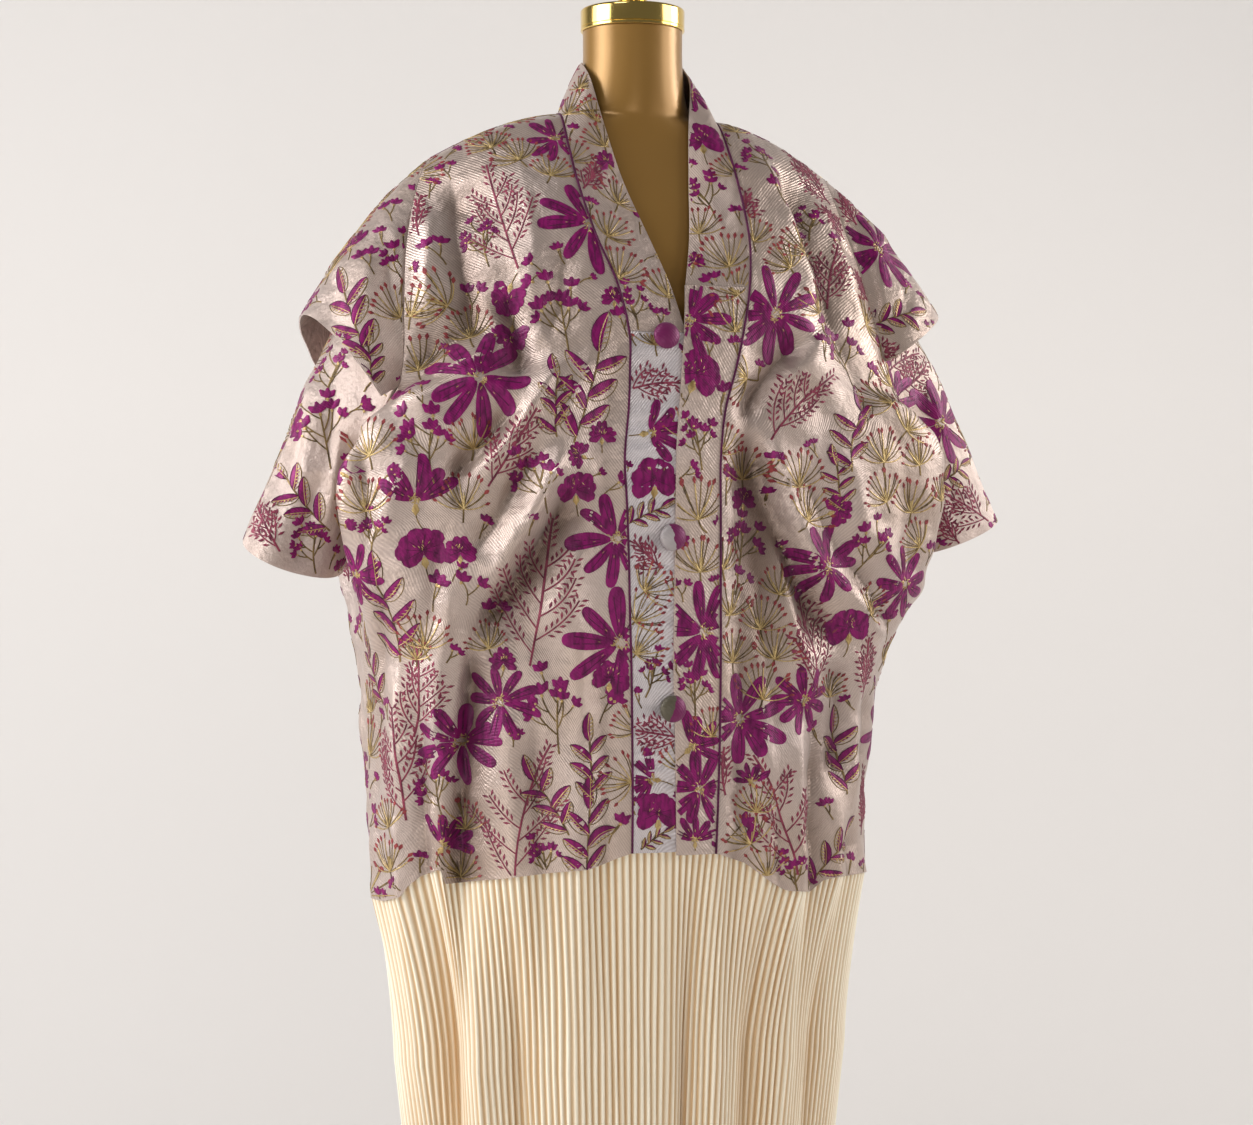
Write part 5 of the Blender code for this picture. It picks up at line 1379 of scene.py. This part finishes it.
SKIRT_BACK_FOLDS = (
    (-190, -900, -160, 300, 0, 14, 18, -22), (-130, -900, -115, 300, 0, 18, 18, 6),
    (-70, -900, -60, 300, 0, 14, 18, -13), (-10, -900, -8, 300, 0, 18, 18, 5),
    (50, -900, 45, 300, 0, 14, 16, -15), (105, -900, 95, 300, 0, 16, 16, 6),
    (165, -900, 142, 300, 0, 18, 14, -20),
)


def plisse_cloth():
    """Cream pleated satin with painted light and shade: lighter on the pleats' ridges, tan in their valleys
    and in deep folds, with a fine grain down the pleats.
    """
    made, tree, shader = finish("cream_plisse", (0.92, 0.82, 0.62), 0.42, 0.05, Sheen_Weight=0.3)
    painted_pleat_light = node(tree, "Attribute", attribute_name="ridge")
    place = node(tree, "TexCoord")
    down = node(tree, "Mapping", {"Vector": place, "Scale": (1.0, 1.0, 0.06)})
    cloud = node(tree, "TexNoise", {"Vector": down, "Scale": 60.0, "Detail": 3.0})
    grain = node(tree, "TexNoise", {"Vector": down, "Scale": 900.0, "Detail": 2.0})
    lift = node(tree, "Math", {0: cloud, 1: 0.35, 2: -0.17}, operation="MULTIPLY_ADD")
    mixed = node(tree, "Math", {0: painted_pleat_light, 1: lift}, operation="ADD", use_clamp=True)
    color = node(tree, "Mix", {"Factor": mixed, "A": (0.66, 0.44, 0.23, 1),
                               "B": (1.0, 0.93, 0.76, 1)}, data_type="RGBA")
    tree.links.new(color, shader.inputs["Base Color"])
    bump = node(tree, "Bump", {"Height": grain, "Strength": 0.2, "Distance": 0.0003})
    tree.links.new(bump, shader.inputs["Normal"])
    return made


def resampled(line, count):
    """Evenly spaced points along a line of points, by its length in plan."""
    run = np.concatenate([[0], np.cumsum(np.linalg.norm(np.diff(line[:, :2], axis=0), axis=1))])
    at = np.linspace(0, run[-1], count)
    return np.stack([np.interp(at, run, line[:, k]) for k in range(line.shape[1])], axis=-1)


def plan_normals(line, facing):
    """Level normals of a line of points in plan, on the outer side."""
    along = np.gradient(line[:, :2], axis=0)
    normals = unit(np.stack([along[:, 1], -along[:, 0], 0 * along[:, 0]], axis=-1))
    return normals if np.sum(normals[:, 1]) * facing > 0 else -normals


def skirt_half_level(row, side, facing, folds):
    """Half of one level of the skirt, from the centre to the side: an ellipse with the folds.

    The fourth column is how far the folds push each point out.
    """
    hand = -1 if side == "right" else 1
    angle = np.linspace(0, math.pi / 2, 240)
    deep = row["front"] if facing < 0 else row["back"]
    line = np.stack([hand * row["wide_" + side[0]] * np.sin(angle), facing * deep * np.cos(angle),
                     row["z"] + 0 * angle], axis=-1)
    height = crease_height(folds, line[:, 0] * 1000, -line[:, 2] * 1000) * ease((math.pi / 2 - angle) / 0.25)
    return np.concatenate([line + plan_normals(line, facing) * height[:, None], height[:, None]], axis=1)


CREAM_PLISSE = plisse_cloth()
for name, facing, folds, replaced, flat, area in (
        ("skirt_cloth_front", -1, SKIRT_FRONT_FOLDS, "skirt_front", (0.99, 0.61), 0.497),
        ("skirt_cloth_back", 1, SKIRT_BACK_FOLDS, "skirt_back", (0.88, 0.61), 0.478)):
    count = PLEATS_EACH_SIDE * PLEAT_COLUMNS // 2 + 1
    levels = []
    for rise in (TUCK, -BELOW_SEAM):
        halves = []
        for side in ("right", "left"):
            grid = front_panels[side][0] if facing < 0 else back_panels[side][0]
            hem = grid[-1] + (grid[-2] - grid[-1]) / (grid[-2] - grid[-1])[:, 2:] * rise
            centre = np.array([[0, hem[0, 1], hem[0, 2]]])
            line = np.concatenate([centre, hem]) if facing < 0 else hem
            outward = plan_normals(line, facing)
            outward[0] = (0, facing, 0)
            outward[-1] = (-1 if side == "right" else 1, 0, 0)
            halves.append(resampled(np.insert(line - outward * SKIRT_INSET, 3, 0, axis=1), count))
        levels.append(np.concatenate([halves[0][::-1], halves[1][1:]]))
    table = columns(SKIRT, SKIRT_NAMES)
    for i in range(len(SKIRT)):
        row = {key: values[i] for key, values in table.items()}
        halves = [resampled(skirt_half_level(row, side, facing, folds), count) for side in ("right", "left")]
        levels.append(np.concatenate([halves[0][::-1], halves[1][1:]]))
    share = np.concatenate([i + np.arange(n) / n for i, n in enumerate(SKIRT_PARTS)] + [[len(SKIRT_PARTS)]])
    low = np.minimum(share.astype(int), len(SKIRT_PARTS) - 1)
    mix = (share - low)[:, None, None]
    levels = np.array(levels)
    base = levels[low] * (1 - mix) + levels[low + 1] * mix
    early = np.where(low[:, None, None] == 1, 1 - (1 - mix) ** 1.5, mix)
    base[..., :2] = (levels[low] * (1 - early) + levels[low + 1] * early)[..., :2]
    # Painted shade: how deep each point lies in a fold, which darkens its colour.
    deep = np.clip(-base[..., 3] / SKIRT_PAINTED_SHADE_DEPTH, 0, 1)
    base = base[..., :3]
    normals = np.array([plan_normals(level, facing) for level in base])
    normals[:, 0] = (-1, 0, 0)
    normals[:, -1] = (1, 0, 0)
    draw = np.random.default_rng(71)
    number = np.arange(base.shape[1]) / PLEAT_COLUMNS
    nearest = np.clip(np.round(number).astype(int), 0, PLEATS_EACH_SIDE + 1)
    own = draw.uniform(0.65, 1.15, PLEATS_EACH_SIDE + 2)[nearest]
    sway = (0.10 * np.sin(base[..., 2] * 9 + number[None, :] * 0.35)
            + 0.06 * np.sin(base[..., 2] * 23 + number[None, :] * 1.3))
    wave = np.cos((number[None, :] + sway * ease((0.66 - base[..., 2]) * 6)) * 2 * math.pi)
    ridge = np.sign(wave) * np.abs(wave) ** 0.75
    ends = np.minimum(number, number[::-1])
    depth = PLEAT_DEPTH * own * ease(ends * 1.5)
    points = base + normals * (ridge * depth)[..., None]
    points[:, [0, -1], 1] = facing * REST_GAP
    skirt = shell(name, points, normals, PLISSE)
    # Painted light and shade: ridges are stored lighter, valleys and deep folds darker, for the material's
    # colour.
    shade = np.clip(0.52 + 0.62 * ridge * own - 0.6 * deep, 0, 1).reshape(-1)
    store(skirt, "ridge", np.concatenate([shade, shade]))
    skirt.data.materials.append(CREAM_PLISSE)
    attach(skirt, "root")
    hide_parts(replaced)


# Dress form: a padded limbless torso covered in bronze satin, with a long neck. It carries the
# dress on its shoulders and stands on a pole.
NECK_RADIUS = 0.0537
NECK_TOP = 1.5550
TORSO_NAMES = ("z", "wide", "front", "back", "power")
TORSO = (
    (0.780, .148, .094, .096, 2.0),
    (0.800, .158, .104, .106, 2.0),
    (0.870, .164, .108, .108, 2.0),
    (0.950, .150, .102, .098, 2.0),
    (1.040, .124, .091, .086, 2.0),
    (1.120, .134, .110, .090, 2.0),
    (1.200, .149, .128, .096, 2.0),
    (1.280, .160, .116, .098, 2.0),
    (1.340, .170, .094, .092, 1.9),
    (1.385, .184, .074, .080, 1.7),
    (1.412, .194, .062, .070, 1.5),
    (1.4300, .1785, .055, .060, 1.3),
    (1.4420, .1530, .052, .056, 1.3),
    (1.4530, .1110, .051, .054, 1.1),
    (1.4600, .0735, .051, .053, 1.4),
    (1.4700, .0620, .052, .053, 1.9),
    (1.4850, .0570, .0530, .0530, 2.0),
    (1.5200, .0538, .0537, .0537, 2.0),
    (NECK_TOP, NECK_RADIUS, NECK_RADIUS, NECK_RADIUS, 2.0),
)


def bronze_satin():
    """The form's cover: bronze satin with a fine weave and a slightly clouded sheen."""
    made, tree, shader = finish("bronze_satin", (0.32, 0.17, 0.04), 0.30, 0.30, Sheen_Weight=0.1)
    place = node(tree, "TexCoord")
    weave_lines = node(tree, "TexWave", {"Vector": place, "Scale": 320.0, "Distortion": 0.8},
                       bands_direction="Z")
    cloud = node(tree, "TexNoise", {"Vector": place, "Scale": 9.0, "Detail": 3.0})
    color = node(tree, "Mix", {"Factor": cloud, "A": (0.29, 0.150, 0.032, 1),
                               "B": (0.35, 0.19, 0.045, 1)}, data_type="RGBA")
    tree.links.new(color, shader.inputs["Base Color"])
    bump = node(tree, "Bump", {"Height": weave_lines, "Strength": 0.15, "Distance": 0.0002})
    tree.links.new(bump, shader.inputs["Normal"])
    return made


torso_row = spread(TORSO, TORSO_NAMES, parts=np.full(len(TORSO) - 1, 5))
around = np.linspace(0, 2 * math.pi, 96, endpoint=False)
x = torso_row["wide"][:, None] * np.sin(around)
cosine = np.abs(np.cos(around))[None, :] ** (2 / torso_row["power"][:, None])
deep = np.where(np.cos(around) > 0, torso_row["front"][:, None], torso_row["back"][:, None])
y = -np.sign(np.cos(around)) * deep * cosine
torso_points = np.stack([x, y, torso_row["z"][:, None] + 0 * x], axis=-1)
form_body = add_piece("form_body", torso_points, tube_faces(*torso_points.shape[:2]), bronze_satin())
form_body.data.set_sharp_from_angle(angle=math.radians(50))
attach(form_body, "root")
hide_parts("form_torso")


# Cap, finial, pole and base: turned brass. The cap closes the neck and carries a stem with a
# ball. The pole runs from under the torso to a round weighted base, both in satin brass.
CAP_RADIUS = 0.0562
CAP_HEIGHT = 0.024
STEM_RADIUS = 0.0135
KNOB_RADIUS = 0.019
FINIAL_TOP = 1.640
FORM_BOTTOM = 0.780
POLE_RADIUS = 0.014
BASE_RADIUS = 0.180
BASE_HEIGHT = 0.014


def turned_brass(name, roughness, brush):
    """Brass with the fine rings that a lathe and a polishing cloth leave."""
    made, tree, shader = finish(name, (0.86, 0.62, 0.19), roughness, 1.0)
    place = node(tree, "TexCoord")
    level = node(tree, "Mapping", {"Vector": place, "Scale": (0.02, 0.02, 1.0)})
    rings = node(tree, "TexNoise", {"Vector": level, "Scale": 900.0, "Detail": 2.0})
    smudge = node(tree, "TexNoise", {"Vector": place, "Scale": 35.0, "Detail": 3.0})
    rough = node(tree, "MapRange", {"Value": smudge, "To Min": roughness * 0.8,
                                    "To Max": roughness * 1.3})
    tree.links.new(rough, shader.inputs["Roughness"])
    bump = node(tree, "Bump", {"Height": rings, "Strength": brush, "Distance": 0.0002})
    tree.links.new(bump, shader.inputs["Normal"])
    return made


polished = turned_brass("polished_brass", 0.14, 0.05)
satin_brass = turned_brass("satin_brass", 0.26, 0.15)
cap_bottom = NECK_TOP + REST_GAP
seat = cap_bottom + CAP_HEIGHT + REST_GAP
ball = FINIAL_TOP - seat - KNOB_RADIUS
pole_bottom = BASE_HEIGHT + REST_GAP
pole_top = FORM_BOTTOM - REST_GAP - pole_bottom
edge_turn = np.radians(np.linspace(0, 90, 6))
cap_profile = ([(0.004, CAP_HEIGHT), (0.040, CAP_HEIGHT)]
               + [(CAP_RADIUS - 0.003 + 0.003 * math.sin(a), CAP_HEIGHT - 0.003 + 0.003 * math.cos(a))
                  for a in edge_turn]
               + [(CAP_RADIUS - 0.0002, 0.0045), (CAP_RADIUS - 0.0008, 0.0040), (CAP_RADIUS - 0.0002, 0.0035),
                  (CAP_RADIUS, 0.001), (CAP_RADIUS - 0.001, 0), (0.004, 0)])
knob = [(KNOB_RADIUS * math.sin(a), ball + KNOB_RADIUS * math.cos(a))
        for a in np.radians(np.linspace(4, 130, 18))]
finial_profile = knob + [(STEM_RADIUS * 0.9, ball - 0.017), (STEM_RADIUS, 0.016),
                         (STEM_RADIUS + 0.0018, 0.0152), (STEM_RADIUS + 0.0025, 0.014),
                         (STEM_RADIUS + 0.0025, 0.011), (STEM_RADIUS + 0.001, 0.009), (0.0185, 0.0062),
                         (0.024, 0.004), (0.030, 0.0024), (0.037, 0.0015), (0.037, 0), (0.004, 0)]
pole_profile = [(0.002, pole_top), (POLE_RADIUS - 0.0004, pole_top), (POLE_RADIUS, pole_top - 0.0004),
                (POLE_RADIUS, 0.034), (POLE_RADIUS + 0.002, 0.031), (POLE_RADIUS + 0.006, 0.026),
                (POLE_RADIUS + 0.0068, 0.020), (POLE_RADIUS + 0.010, 0), (0.002, 0)]
base_profile = ([(0.004, BASE_HEIGHT), (BASE_RADIUS - 0.012, BASE_HEIGHT)]
                + [(BASE_RADIUS - 0.008 + 0.008 * math.sin(a), BASE_HEIGHT - 0.006 + 0.006 * math.cos(a))
                   for a in edge_turn]
                + [(BASE_RADIUS, 0.001), (BASE_RADIUS - 0.001, 0), (0.004, 0)])
for name, profile, steps, height, material, slot, replaced in (
        ("cap_turned", cap_profile, 96, cap_bottom, polished, "brass", "neck_cap"),
        ("finial_turned", finial_profile, 48, seat, polished, "brass", "finial"),
        ("pole_turned", pole_profile, 48, pole_bottom, satin_brass, "stand_metal", "pole"),
        ("base_turned", base_profile, 128, 0.0, satin_brass, "stand_metal", "base")):
    piece = turned(name, profile, steps, (0, 0, height))
    piece.data.materials.append(material)
    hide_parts(replaced)
